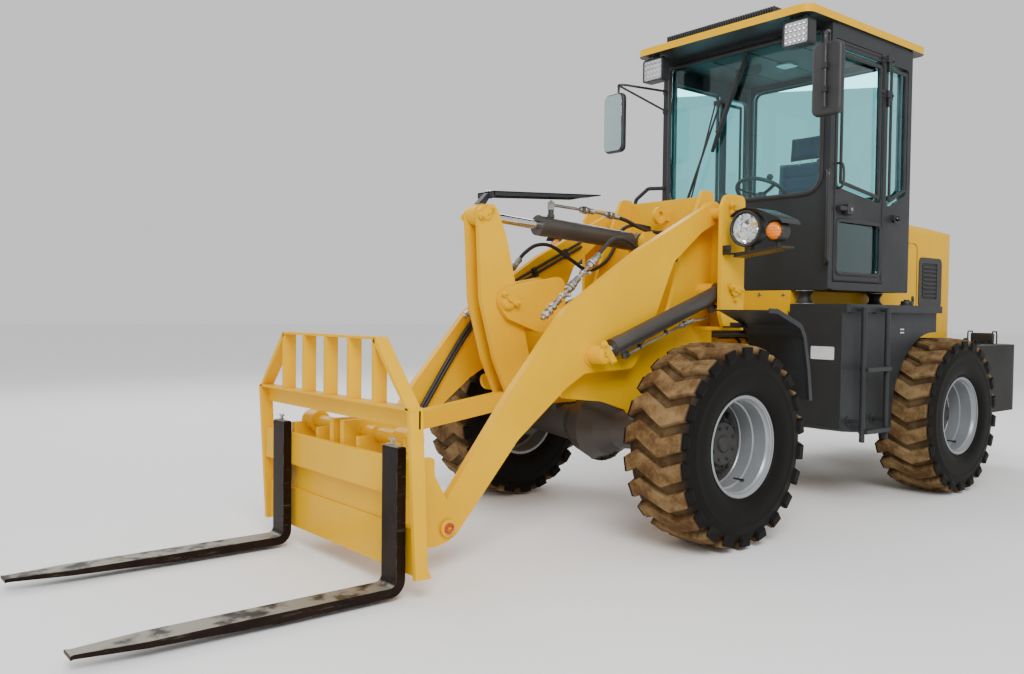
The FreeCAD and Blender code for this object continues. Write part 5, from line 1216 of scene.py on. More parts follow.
def boom_pins():
    """Pin ends on the boom, the tower, the bellcrank and the hitch."""
    for name, side in SIDES:
        outward = Y_AXIS * side
        tower = Shape()
        for x, z in ((-530, 1829), (-530, 1372), (-530, 1313)):
            tower.bolt(at(x, 585 * side, z), outward, 0.022)
        pin_end(tower, on_pin(BOOM_PIVOT, 597 * side), outward, 0.035, 0.4)
        pin_end(tower, on_pin(LIFT_BASE, 597 * side), outward, 0.026, 0.2)
        tower.piece("tower_pin_ends_" + name, FRONT, YELLOW_PAINT, bevel=0.0008)
        boom = Shape()
        pin_end(boom, on_pin(BELLCRANK_PIN, 108 * side), outward, 0.035, 0.5)
        boom.piece("bracket_pin_end_" + name, "crank_pin", YELLOW_PAINT, bevel=0.0008)
        eye = Shape()
        pin_end(eye, on_pin(LIFT_EYE, 542 * side), outward, 0.04, 0.9)
        eye.piece("lift_pin_end_" + name, "lift_piston_" + name, YELLOW_PAINT, bevel=0.0008)
        tip = Shape()
        pin_end(tip, on_pin(TIP_PIN, 490 * side), outward, 0.035, 1.2, False)
        tip.piece("tip_pin_end_" + name, "tip", YELLOW_PAINT, bevel=0.0008)
        seal = Shape().lathe([(0, 0.02), (0.004, 0.026), (0.009, 0.026), (0.012, 0.02), (0.009, 0.015),
                              (0.004, 0.015)], on_pin(TIP_PIN, 499 * side), outward, 28)
        seal.piece("tip_pin_ring_" + name, "tip", RED_LENS)
        top = Shape()
        pin_end(top, on_pin(TILT_EYE, 66 * side), outward, 0.026, -0.6)
        top.piece("bellcrank_top_pin_" + name, "crank", YELLOW_PAINT, bevel=0.0008)


# ------------------------------------------------------------------ hydraulics

def coupling(shape, start, end, radius):
    """A pipe union: two hexagon nuts, a collar between them and a ribbed ferrule."""
    start, end = Vector(start), Vector(end)
    along = (end - start).normalized()
    first, second = axes_about(along)
    length = (end - start).length
    shape.rod(start, end, radius * 1.25, 16)
    for share in (0.18, 0.62):
        middle = start + along * length * share
        shape.rings([circle(middle + along * lift, first, second, radius * 2.1, 6)
                     for lift in (-0.01, 0.01)])
    middle = start + along * length * 0.4
    shape.rod(middle - along * 0.008, middle + along * 0.008, radius * 2.4, 20)
    for step in range(4):
        middle = start + along * (length * 0.78 + 0.01 * step)
        shape.rod(middle, middle + along * 0.006, radius * 1.7, 16)
    return shape


def hose(name, places, bodies, radius=0.011, count=36):
    """A short hose on one body; with two bodies it hangs on neither of them."""
    shape = Shape().tube(smooth_line(places, count), radius, 12)
    if len(bodies) == 1:
        return shape.piece(name, bodies[0], BLACK_RUBBER)
    thing = shape.piece(name, None, BLACK_RUBBER)
    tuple(places[0])
    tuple(places[-1])
    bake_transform(thing)
    return thing


def lift_lines():
    """Each lift cylinder's port blocks, its steel pipe, the pipe's clips and the hose to the tower."""
    for name, side in SIDES:
        base, end = on_pin(LIFT_BASE, 500 * side), on_pin(LIFT_EYE, 500 * side)
        along = (end - base).normalized()
        under = along.cross(Y_AXIS).normalized()
        if under.z > 0:
            under = -under

        def spot(share, drop, across=0.0):
            return base + along * share + under * drop + Y_AXIS * side * across

        ports = Shape()
        for share in (0.905, 0.13):
            ports.rod(spot(share, 0.03), spot(share, 0.088), 0.019, 20)
            ports.rod(spot(share - 0.03, 0.076), spot(share + 0.012, 0.076), 0.015, 16)
        ports.piece("lift_ports_" + name, "lift_cylinder_" + name, BARREL_PAINT, bevel=0.0008)
        pipe = smooth_line([spot(0.875, 0.076), spot(0.72, 0.074), spot(0.5, 0.074), spot(0.36, 0.074),
                            spot(0.3, 0.082), spot(0.24, 0.098), spot(0.17, 0.104)], 36)
        steel = Shape().tube(pipe, 0.0075, 10)
        coupling(steel, spot(0.43, 0.074), spot(0.33, 0.077), 0.0085)
        steel.piece("lift_pipe_" + name, "lift_cylinder_" + name, ZINC_STEEL)
        clips = Shape()
        for share in (0.78, 0.55):
            clips.block(spot(share, 0.048) - Vector((0.011, 0.012, 0.004)),
                        spot(share, 0.084) + Vector((0.011, 0.012, 0.004)))
        clips.piece("lift_pipe_clips_" + name, "lift_cylinder_" + name, BARREL_PAINT, bevel=0.001)
        hose("lift_hose_" + name, [spot(0.1, 0.06), spot(0.04, 0.085), spot(-0.02, 0.075),
                                   at(-560, 500 * side, 1290), at(-590, 470 * side, 1230)],
             ["lift_cylinder_" + name, FRONT], 0.01)


def tilt_lines():
    """The tilt cylinder's port, its pipe with unions, and the hose back to the tower."""
    block = Shape()
    block.block(at(405, -15, 1818), at(433, 15, 1864))
    block.rod(at(419, 0, 1862), at(419, 0, 1872), 0.009, 6)
    block.piece("tilt_port", "tilt_cylinder", ZINC_STEEL, bevel=0.002)
    neck = Shape().rod(at(419, 0, 1764), at(419, 0, 1819), 0.017, 24)
    neck.rod(at(419, 0, 1772), at(419, 0, 1790), 0.022, 24)
    neck.piece("tilt_port_neck", "tilt_cylinder", BARREL_PAINT)
    pipe = Shape().tube(smooth_line([at(404, 0, 1846), at(280, 0, 1842), at(150, 0, 1837),
                                     at(20, 0, 1830), at(-110, 0, 1818)], 24), 0.009, 10)
    coupling(pipe, at(190, 0, 1839), at(90, 0, 1834), 0.01)
    coupling(pipe, at(-20, 0, 1827), at(-120, 0, 1817), 0.01)
    pipe.piece("tilt_pipe", "tilt_cylinder", ZINC_STEEL)
    hose("tilt_hose_near", [at(-112, 0, 1818), at(-200, 10, 1800), at(-300, 30, 1762),
                            at(-400, 60, 1738), at(-500, 80, 1745), at(-618, 90, 1770)],
         ["tilt_base", FRONT], 0.012)
    hose("tilt_hose_far", [at(-150, -46, 1650), at(-230, -110, 1680), at(-330, -150, 1760),
                           at(-450, -160, 1800), at(-618, -150, 1790)], ["tilt_base", FRONT], 0.012)


def guard_folds():
    """The folded edges of the sheet over the tilt rod, its front tab and its bolts."""
    folds = Shape()
    for side in (-1, 1):
        y_low, y_high = span(72, 75, side)
        outline = [(894, 1874), (200, 1917), (110, 1926), (100, 1921), (200, 1900), (894, 1853)]
        folds.prism(outline, "Y", (y_low, y_high))
    front = [(-75, 1876), (75, 1876), (75, 1848), (50, 1838), (-50, 1838), (-75, 1848)]
    folds.prism(front, "X", (890, 894))
    folds.piece("guard_folds", "tilt_piston", GREY_PAINT)
    bolts = Shape()
    for y in (-12, 12):
        bolts.bolt(at(880, y, 1879), Z_AXIS, 0.013)
    bolts.piece("guard_bolts", "tilt_piston", ZINC_STEEL)


def boom_lines():
    """Pipes along the right arm, the unions on both arms and the hoses at their ends."""
    pipes = Shape()
    for offset in (0, 34):
        route = ((-200, 1690), (150, 1520), (440, 1372), (640, 1212))
        pipes.tube(smooth_line([at(x, -388, z - offset) for x, z in route], 30), 0.009, 10)
    pipes.piece("arm_pipes", "boom", BLACK_PAINT)
    unions = Shape()
    for offset in (0, 34):
        coupling(unions, at(600, -388, 1246 - offset), at(676, -388, 1182 - offset), 0.011)
    unions.piece("arm_pipe_unions", "boom", ZINC_STEEL)
    clamps = Shape()
    for x, z in ((-60, 1606), (200, 1478), (470, 1333)):
        clamps.block(at(x - 14, -399, z - 32), at(x + 14, -374, z + 28),
                     Matrix.Rotation(radians(28), 3, "Y"))
        clamps.bolt(at(x, -374, z - 2), Y_AXIS, 0.012)
    clamps.piece("arm_pipe_clamps", "boom", BLACK_PLASTIC, bevel=0.002)
    for i, offset in enumerate((0, 34)):
        route = ((670, -388, 1187), (760, -384, 1085), (880, -380, 925), (1010, -376, 740),
                 (1120, -370, 590))
        hose(f"arm_hose_{i + 1}", [at(x, y, z - offset) for x, y, z in route], ["boom"], 0.012)
    for name, side in SIDES:
        low, high = at(777, 340 * side, 1193), at(372, 340 * side, 1540)
        line = Shape().rod(low, high, 0.01, 12)
        for first, last in ((0, 0.3), (0.42, 0.62), (0.8, 1.0)):
            coupling(line, low.lerp(high, first), low.lerp(high, last), 0.011)
        line.piece("boom_union_" + name, "boom", ZINC_STEEL)
        stays = Shape()
        for share in (0.36, 0.72):
            place = low.lerp(high, share)
            stays.rod(place, Vector((place.x, at(0, 400 * side, 0).y, place.z)), 0.008, 10)
            stays.rod(place - Y_AXIS * 0.016, place + Y_AXIS * 0.016, 0.018, 14)
        stays.piece("boom_union_stays_" + name, "boom", ZINC_STEEL)
        route = ((378, 340, 1535), (330, 340, 1585), (240, 330, 1640), (120, 320, 1640), (-40, 310, 1560),
                 (-180, 300, 1500), (-330, 298, 1560), (-430, 306, 1670), (-475, 320, 1770))
        hose("boom_hose_" + name, [at(x, y * side, z) for x, y, z in route],
             ["boom", FRONT], 0.012, count=64)


# ------------------------------------------------------------------ deck, steps and fenders

def deck():
    """The yellow plates that close the deck under the cab, and the rubber mounts it stands on."""
    plates, bolts, mounts, washers = Shape(), Shape(), Shape(), Shape()
    front = rounded_loop(-0.43, 0.43, 1.15, 1.391, (0.03, 0.03, 0.008, 0.008))
    plates.plate(front, at(-1347, 0, 0), Y_AXIS, Z_AXIS, 0.006)
    mount = [(0, 0), (0, 0.052), (0.012, 0.054), (0.03, 0.04), (0.044, 0.037), (0.06, 0.04),
             (0.08, 0.054), (0.0925, 0.052), (0.0925, 0)]
    for y in (-380, -190, 190, 380):
        for z in (1180, 1365):
            bolts.bolt(at(CAB_FRONT, y, z), X_AXIS, 0.016)
    for side in WAYS:
        for first, last, top in ((424, 430, 1391), (400, 424, 1156)):
            low_y, high_y = span(first, last, side)
            slab(plates, (-2380, low_y, 1150), (-1348, high_y, top))
        for x in (-1500, -1800, -2100, -2340):
            bolts.bolt(at(x, 430 * side, 1180), Y_AXIS * side, 0.016)
        for x in (-1400, -2300):
            mounts.lathe(mount, at(x, 500 * side, 1300), Z_AXIS, 32, closed=False)
            for z in (1302, 1386):
                washers.rod(at(x, 500 * side, z), at(x, 500 * side, z + 5), 0.062, 32)
    plates.piece("deck_plates", REAR, YELLOW_PAINT, "body_yellow", bevel=0.0015)
    bolts.piece("deck_bolts", REAR, ZINC_STEEL, "steel")
    mounts.piece("cab_mounts", REAR, BLACK_RUBBER, "plastic")
    washers.piece("cab_mount_washers", REAR, ZINC_STEEL, "steel")


def step_details():
    """Grip lozenges on the platforms, toothed treads, stay bolts, vents and the blank plate."""
    grip = Shape()
    teeth = Shape()
    fixings = Shape()
    for side in WAYS:
        for row, x in enumerate(range(-2490, -1280, 30), 1):
            for y in range(490, 895, 30):
                lean = 0.7 if (row + y // 30) % 2 else -0.7
                along = Vector((cos(lean), sin(lean), 0)) * 0.011
                across = Vector((-sin(lean), cos(lean), 0)) * 0.003
                centre = at(x, y * side, PLATFORM_TOP - 0.5)
                low = [centre + along, centre + across, centre - along, centre - across]
                top = [centre + (corner - centre) * 0.6 + Z_AXIS * 0.0018 for corner in low]
                grip.rings([low, top])
        for z in (512, 902):
            for x in range(-1635, -1365, 18):
                for y in (931, 955, 979):
                    place = at(x, y * side, z - 0.5)
                    teeth.rod(place, place + Z_AXIS * 0.004, 0.0055, 8, end_radius=0.0035)
        for x in (-1360, -1648):
            for z in (560, 1268):
                foot = at(x, 855 * side, z)
                fixings.rod(foot, foot + Y_AXIS * side * 0.008, 0.03, 24)
                for turn in (0.6, 2.7, 4.8):
                    spot = foot + spoke(turn) * 0.022
                    fixings.bolt(spot + Y_AXIS * side * 0.008, Y_AXIS * side, 0.007)
            for z in (440, 1275):
                end = at(x, 950 * side, z)
                fixings.rod(end, end + Z_AXIS * (0.004 if z > 500 else -0.004), 0.0165, 20)
    grip.piece("platform_grip", REAR, GREY_PAINT, "cab_grey")
    teeth.piece("tread_teeth", REAR, GREY_PAINT, "cab_grey")
    fixings.piece("ladder_fixings", REAR, GREY_PAINT, "cab_grey")
    plate = Shape()
    outline = rounded_loop(0.644, 0.808, 0.948, 1.03, 0.006)
    plate.plate(outline, at(-1260, 0, 0), Y_AXIS, Z_AXIS, 0.0012)
    plate.piece("blank_plate", REAR, BARE_PLATE, "plastic", bevel=0.0003)
    rivets = Shape()
    for y in (652, 800):
        for z in (956, 1022):
            rivets.rod(at(-1258.8, y, z), at(-1257.0, y, z), 0.0035, 12, end_radius=0.0022)
    rivets.piece("blank_plate_rivets", REAR, ZINC_STEEL, "steel")
    vents = Shape()
    for z in (1116, 1138):
        slot = rounded_loop(-0.026, 0.026, -0.004, 0.004, 0.0035)
        vents.plate(slot, at(-2020, 855, z), -X_AXIS, Z_AXIS, 0.0015)
    vents.piece("tank_vents", REAR, BARE_PLATE, "plastic")
    filler = Shape()
    filler.lathe([(0, 0), (0, 0.046), (0.012, 0.046), (0.014, 0.04), (0.03, 0.04),
                  (0.036, 0.036), (0.036, 0)], at(-2380, 700, PLATFORM_TOP), Z_AXIS, 32, closed=False)
    filler.block(at(-2412, 694, 1336), at(-2348, 706, 1346))
    filler.piece("tank_cap", REAR, BLACK_PLASTIC, "plastic", bevel=0.001)
    seams = Shape()
    for side in WAYS:
        seams.bead(at(-1262, 856 * side, 505), at(-1262, 856 * side, 1248), 0.003, 0.01)
        seams.bead(at(-2505, 857 * side, 1249), at(-1265, 857 * side, 1249), 0.003, 0.01)
    seams.piece("step_box_seams", REAR, GREY_PAINT, "cab_grey")


# ------------------------------------------------------------------ hood, exhaust and counterweight

def frame_ring(shape, place, outline_out, outline_in, low, high):
    """A flat frame between two outlines of as many points, from the depth low to high."""
    shape.rings([[place(u, v, low) for u, v in outline_out], [place(u, v, high) for u, v in outline_out],
                 [place(u, v, high) for u, v in outline_in], [place(u, v, low) for u, v in outline_in]],
                closed=True)


def hood_details():
    """Grille frames, the side doors' seals, their latches and hinges, and the rear grille."""
    frames, seals, latches, hinges = Shape(), Shape(), Shape(), Shape()
    for side in WAYS:
        def on_side(u, v, depth):
            return at(u, (HOOD_SIDE + depth) * side, v)

        frame_ring(frames, on_side, rounded_loop(-3575, -3192, 1297, 1700, 46),
                   rounded_loop(-3492, -3238, 1368, 1654, 14), -2, 7)
        door = rounded_loop(-3160, -2470, 1075, 1800, (50,) * 4, 8)
        seals.tube([on_side(u, v, 0) for u, v in door], 0.0035, 8, closed=True)
        for x in (-3100, -2530):
            outline = rounded_loop(-17, 17, -33, 33, 12)
            base = at(x, HOOD_SIDE * side, 1354)
            latches.rings([[base + Vector((u * share / 1000, lift * side, v * share / 1000))
                            for u, v in outline]
                           for lift, share in ((-0.001, 1.0), (0.005, 1.0), (0.007, 0.9))])
            latches.rod(base + Y_AXIS * side * 0.006, base + Y_AXIS * side * 0.012, 0.01, 20)
        for x in (-3050, -2600):
            hinges.rod(at(x - 35, 384 * side, 1806), at(x + 35, 384 * side, 1806), 0.007, 16)
            low_y, high_y = span(380, 383, side)
            slab(hinges, (x - 32, low_y, 1770), (x + 32, high_y, 1803))
    frames.piece("grille_frames", REAR, BLACK_PLASTIC, "plastic", bevel=0.0015)
    seals.piece("hood_door_seals", REAR, BLACK_RUBBER, "plastic")
    latches.piece("hood_latches", REAR, BLACK_PLASTIC, "plastic")
    hinges.piece("hood_hinges", REAR, YELLOW_PAINT, "body_yellow", bevel=0.001)
    rear = Shape()
    frame_ring(rear, lambda u, v, depth: at(-3903 - depth, u, v),
               rounded_loop(-134, 134, 1120, 1720, 24),
               rounded_loop(-114, 114, 1140, 1700, 12), -2, 5)
    for i in range(16):
        z = 1155 + 34 * i
        low, high = at(-3907, -116, z), at(-3903, 116, z + 20)
        rear.block(low, high, Matrix.Rotation(-0.3, 3, "Y"))
    rear.piece("rear_grille", REAR, BLACK_PLASTIC, "plastic", bevel=0.0008)
    screen = Shape()
    screen.plate(rounded_loop(-0.115, 0.115, 1.139, 1.701, 0.012), at(-3902.6, 0, 0),
                 -Y_AXIS, Z_AXIS, 0.0008)
    screen.piece("rear_grille_screen", REAR, DARK_MESH, "plastic")


def exhaust_pipe():
    """The open exhaust pipe, its base flange and its clamp."""
    base = at(-2760, -230, 1960.5)
    pipe = Shape()
    pipe.lathe([(0, 0), (0, 0.0415), (0.539, 0.0415), (0.5395, 0.0405), (0.5395, 0.0385),
                (0.06, 0.038), (0.06, 0)], base, Z_AXIS, 48, closed=False)
    thing = pipe.piece("exhaust_pipe", REAR, HEAT_STEEL, "steel")
    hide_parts("exhaust")
    collar = Shape()
    collar.lathe([(0, 0.0415), (0, 0.075), (0.006, 0.075), (0.01, 0.05), (0.03, 0.046),
                  (0.03, 0.0415)], base, Z_AXIS, 48)
    collar.lathe([(0.12, 0.0412), (0.12, 0.0455), (0.145, 0.0455), (0.145, 0.0412)], base, Z_AXIS, 48)
    for i in range(4):
        turn = pi * (i + 0.5) / 2
        place = base + Vector((cos(turn), sin(turn), 0)) * 0.062
        collar.bolt(place + Z_AXIS * 0.006, Z_AXIS, 0.011)
    collar.block(base + Vector((0.04, -0.01, 0.12)), base + Vector((0.064, 0.01, 0.145)))
    collar.rod(base + Vector((0.055, -0.02, 0.1325)), base + Vector((0.055, 0.02, 0.1325)), 0.004, 12)
    collar.piece("exhaust_collar", REAR, HEAT_STEEL, "steel", bevel=0.0008)


def counterweight_details():
    """The tow pin with its handle, the lamps on top of the weight and the bolts that hold it."""
    pin = Shape()
    pin.rod(at(-4054, 0, 600), at(-4054, 0, 1030), 0.0205, 32)
    pin.rod(at(-4054, 0, 1012), at(-4054, 0, 1024), 0.032, 32)
    handle = ((-12, 1026), (-50, 1050), (-45, 1084), (0, 1094), (45, 1084), (50, 1050), (12, 1026))
    pin.tube(smooth_line([at(-4054, y, z) for y, z in handle], 36), 0.007, 12)
    pin.piece("tow_pin", REAR, ZINC_STEEL, "steel")
    cases, red, amber, guards = Shape(), Shape(), Shape(), Shape()
    bolts, eyes = Shape(), Shape()
    guard = ((-4020, 1003), (-4020, 1098), (-4070, 1102), (-4100, 1098), (-4104, 1003))
    eye = ((-3360, 1000), (-3360, 1040), (-3330, 1052), (-3300, 1040), (-3300, 1000))
    for side in WAYS:
        low_y, high_y = span(430, 600, side)
        soft_case(cases, at(-4098, low_y, 1004), at(-4030, high_y, 1092), 0.014, 0.006)
        for shape, first, last in ((red, 438, 512), (amber, 520, 592)):
            low_y, high_y = span(first, last, side)
            soft_case(shape, at(-4104, low_y, 1014), at(-4094, high_y, 1082), 0.01, 0.003)
        for y in (415, 615):
            guards.tube(smooth_line([at(x, y * side, z) for x, z in guard], 24), 0.006, 10)
        for x in (-3960, -3700, -3450):
            place = at(x, 620 * side, 1003)
            bolts.rod(place, place + Z_AXIS * 0.006, 0.036, 24)
            bolts.bolt(place + Z_AXIS * 0.006, Z_AXIS, 0.036)
        bolts.bolt(at(-3969, -130 * side, 1103), Z_AXIS, 0.03)
        eyes.tube(smooth_line([at(x, 700 * side, z) for x, z in eye], 24), 0.012, 12)
    cases.piece("tail_lamp_cases", REAR, BLACK_PLASTIC, "plastic")
    red.piece("tail_lenses", REAR, RED_LENS, "plastic")
    amber.piece("turn_lenses", REAR, AMBER_LENS, "plastic")
    guards.piece("tail_lamp_guards", REAR, BLACK_PAINT, "frame_black")
    bolts.piece("counterweight_bolts", REAR, CAST_PAINT, "cast")
    eyes.piece("lifting_eyes", REAR, CAST_PAINT, "cast")


# ------------------------------------------------------------------ carriage, hitch and axles

def carriage_frame():
    """The carriage with its upper beam low, so that the hitch shows above it."""
    shape = Shape()
    back, front = 1792, 1858
    half, top_half, bar = 746, 460, 25
    low, rail, top = 92, 811, 1113
    for side in WAYS:
        upright = [(back - 34, low), (front - 37, low), (front, rail), (back, rail)]
        low_y = min(span(half - bar, half, side))
        shape.plate([(x / 1000, z / 1000) for x, z in upright], at(0, low_y, 0), X_AXIS, Z_AXIS, -bar / 1000)
        slope = [(half - bar, rail - 10), (half, rail - 10), (top_half, top), (top_half - bar, top - 12)]
        slope = [(y * side / 1000, z / 1000) for y, z in slope][::side]
        shape.plate(slope, at(back, 0, 0), Y_AXIS, Z_AXIS, (front - back) / 1000)
    slab(shape, (back, -half, rail), (front, half, rail + 12))
    slab(shape, (back + 10, -half, rail - 80), (back + 22, half, rail))
    slab(shape, (back, -top_half, top - 12), (front, top_half, top))
    for index in range(5):
        y = (2 * top_half - bar) / 4 * index - top_half
        slab(shape, (back, y, rail + 12), (front, y + bar, top - 12))
    for depth, low_z, high_z in ((3, 430, 590), (-25, 100, 300)):
        slab(shape, (back + depth, bar - half, low_z), (back + depth + 35, half - bar, high_z))
    thing = shape.piece("carriage_frame", "attachment", YELLOW_PAINT, "body_yellow", bevel=0.0015)
    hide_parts("carriage")


def carriage_details():
    """Fork lock pins, boss rings, toe tabs and the welds of the carriage."""
    pins = Shape()
    for y in (588, -494):
        top = at(1843, y, 655)
        pins.rod(top - Z_AXIS * 0.004, top + Z_AXIS * 0.026, 0.008, 20)
        pins.rod(top + Z_AXIS * 0.001, top + Z_AXIS * 0.006, 0.013, 24)
        pins.rod(top + Vector((0, -0.022, 0.022)), top + Vector((0, 0.022, 0.022)), 0.0055, 16)
    pins.piece("fork_lock_pins", "attachment", ZINC_STEEL, "steel")
    rings, stops, welds = Shape(), Shape(), Shape()
    for side in WAYS:
        face, out = on_pin(HITCH_BOSS, 494 * side), Y_AXIS * side
        rings.lathe([(-0.001, 0.03), (0.003, 0.031), (0.003, 0.039), (-0.001, 0.04)], face, out, 48)
        rings.lathe([(-0.001, 0.01), (0.0045, 0.011), (0.0045, 0.018), (-0.001, 0.019)], face, out, 40)
        for turn in (0.5, 2.6, 4.7):
            rings.bolt(face + spoke(turn) * 0.049, out, 0.009)
        tab = [(1.74, 0.092), (1.795, 0.092), (1.795, 0.17), (1.765, 0.15)]
        stops.plate(tab, at(0, 728 if side > 0 else -746, 0), X_AXIS, Z_AXIS, -0.016)
        for y in (700, 733):
            for z in (100, 300, 430, 590):
                welds.bead(at(1795, (y - 12) * side, z), at(1795, (y + 10) * side, z), 0.004)
        for y, top_z, x in ((452, 555, 1790), (482, 555, 1790), (37, 690, 1788), (67, 690, 1788)):
            welds.bead(at(x, y * side, 310), at(x, y * side, top_z), 0.0045)
        for y in (37, 67, 190, 210, 452):
            ring = circle(on_pin(HITCH_BOSS, y * side), X_AXIS, Z_AXIS, 0.037, 36)
            welds.tube(ring, 0.004, 6, closed=True)
    rings.piece("hitch_boss_rings", "attachment", YELLOW_PAINT, "body_yellow")
    stops.piece("carriage_tabs", "attachment", YELLOW_PAINT, "body_yellow", bevel=0.0015)
    welds.piece("carriage_welds", "attachment", YELLOW_PAINT, "body_yellow")


def boom_welds():
    """Weld beads round the torsion tube, its brackets and the arm bosses."""
    welds = Shape()
    for y in (70, 98, 399):
        for side in WAYS:
            ring = circle(at(440, y * side, 1190), X_AXIS, Z_AXIS, 0.066, 48)
            welds.tube(ring, 0.005, 6, closed=True)
    welds.piece("boom_welds", "boom", YELLOW_PAINT, "body_yellow")


def drive_line():
    """Prop shafts with their joints, and the bolted flanges of both differentials."""
    for name, body, start, end, axle_x in (
            ("front", FRONT, at(HINGE_X, 0, 536), at(-258, 0, AXLE_Z), 0),
            ("rear", REAR, at(HINGE_X, 0, 536), at(-2230, 0, AXLE_Z), REAR_AXLE_X)):
        along = (end - start).normalized()
        shaft = Shape()
        shaft.rod(start + along * 0.075, end - along * 0.09, 0.03, 32)
        shaft.rod(start + along * 0.2, start + along * 0.3, 0.038, 32)
        for place, turned in ((start, 1), (end, -1)):
            for away in (-1, 1):
                arm = place + Z_AXIS * 0.03 * away
                shaft.block(arm + Vector((-0.02, -0.02, -0.007)), arm + Vector((0.02, 0.02, 0.007)))
                shaft.rod(arm, place + along * 0.08 * turned, 0.013, 12)
            shaft.rod(place - Z_AXIS * 0.04, place + Z_AXIS * 0.04, 0.012, 16)
            shaft.rod(place - Y_AXIS * 0.036, place + Y_AXIS * 0.036, 0.012, 16)
        shaft.lathe([(-0.006, 0.012), (-0.006, 0.062), (0.008, 0.062), (0.008, 0.012)], end, along, 40)
        shaft.piece(name + "_prop_shaft", body, CAST_PAINT, "cast")
        flange = Shape()
        centre = at(axle_x, 0, AXLE_Z)
        rim = [(-0.014, 0.19), (-0.014, 0.211), (0.014, 0.211), (0.014, 0.19)]
        flange.lathe(rim, centre, X_AXIS, 64)
        for i in range(16):
            turn = 2 * pi * (i + 0.5) / 16
            spot = centre + Vector((0, cos(turn), sin(turn))) * 0.203
            flange.bolt(spot + X_AXIS * 0.014, X_AXIS, 0.014)
            flange.bolt(spot - X_AXIS * 0.014, -X_AXIS, 0.014)
        flange.piece(name + "_differential_flange", body, CAST_PAINT, "cast", angle=30)


def steering_hoses():
    """Three hoses that pass over the hinge, clamped to the frame on both sides of it."""
    clamps = {REAR: Shape(), FRONT: Shape()}
    for i, y in enumerate((-60, 0, 60)):
        low = 20 * abs(i - 1)
        places = [at(x, y * spread, z - low) for x, spread, z in (
            (-1482, 1.0, 1000), (-1462, 1.1, 1060), (-1380, 1.3, 1095), (HINGE_X, 1.4, 1105),
            (-1000, 1.3, 1100), (-760, 1.1, 1090), (-621, 1.0, 1085))]
        hose(f"steering_hose_{i + 1}", places, (REAR, FRONT), 0.011, count=48)
        coupling(clamps[REAR], places[0] - Z_AXIS * 0.035, places[0], 0.013)
        coupling(clamps[FRONT], places[-1], places[-1] - X_AXIS * 0.035, 0.013)
    for body, shape in clamps.items():
        shape.piece("hose_ends_" + body, body, ZINC_STEEL, "steel")


# ------------------------------------------------------------------ cab, inside

def crowned_cushion(shape, centre, along, across, half_along, half_across, thick, grooves, bolster=0.0):
    """A stuffed pad: crowned faces, sides pulled in between the corners and sewn grooves."""
    along, across = Vector(along).normalized(), Vector(across).normalized()
    normal = along.cross(across)
    count = 36
    steps = [-1 + 2 * i / count for i in range(count + 1)]

    def spot(u, v, face):
        edge = (max(0.0, 1 - abs(u) ** 8) * max(0.0, 1 - abs(v) ** 8)) ** 0.42
        height = thick / 2 * edge
        if face > 0:
            height *= 0.93 + 0.07 * (1 - u * u) * (1 - v * v)
            height += bolster * exp(-((abs(v) - 0.74) / 0.16) ** 2) * edge
            for groove in grooves:
                height -= 0.01 * exp(-((u - groove) / 0.03) ** 2) * edge * (abs(v) < 0.62)
            for groove in (-0.6, 0.6):
                height -= 0.008 * exp(-((v - groove) / 0.022) ** 2) * edge
        pull_u, pull_v = 1 - 0.035 * (1 - v * v), 1 - 0.03 * (1 - u * u)
        return (centre + along * (half_along * u * pull_u) + across * (half_across * v * pull_v)
                + normal * (height * face))

    rim = {}
    for face in (1, -1):
        grid = {}
        for i, u in enumerate(steps):
            for j, v in enumerate(steps):
                if i in (0, count) or j in (0, count):
                    if (i, j) not in rim:
                        rim[i, j] = shape.bm.verts.new(spot(u, v, 1))
                    grid[i, j] = rim[i, j]
                else:
                    grid[i, j] = shape.bm.verts.new(spot(u, v, face))
        for i in range(count):
            for j in range(count):
                shape.bm.faces.new((grid[i, j], grid[i + 1, j], grid[i + 1, j + 1], grid[i, j + 1]))
    edge = [spot(u, -1, 1) for u in steps[:-1]] + [spot(1, v, 1) for v in steps[:-1]]
    edge += [spot(u, 1, 1) for u in reversed(steps[1:])] + [spot(-1, v, 1) for v in reversed(steps[1:])]
    return edge


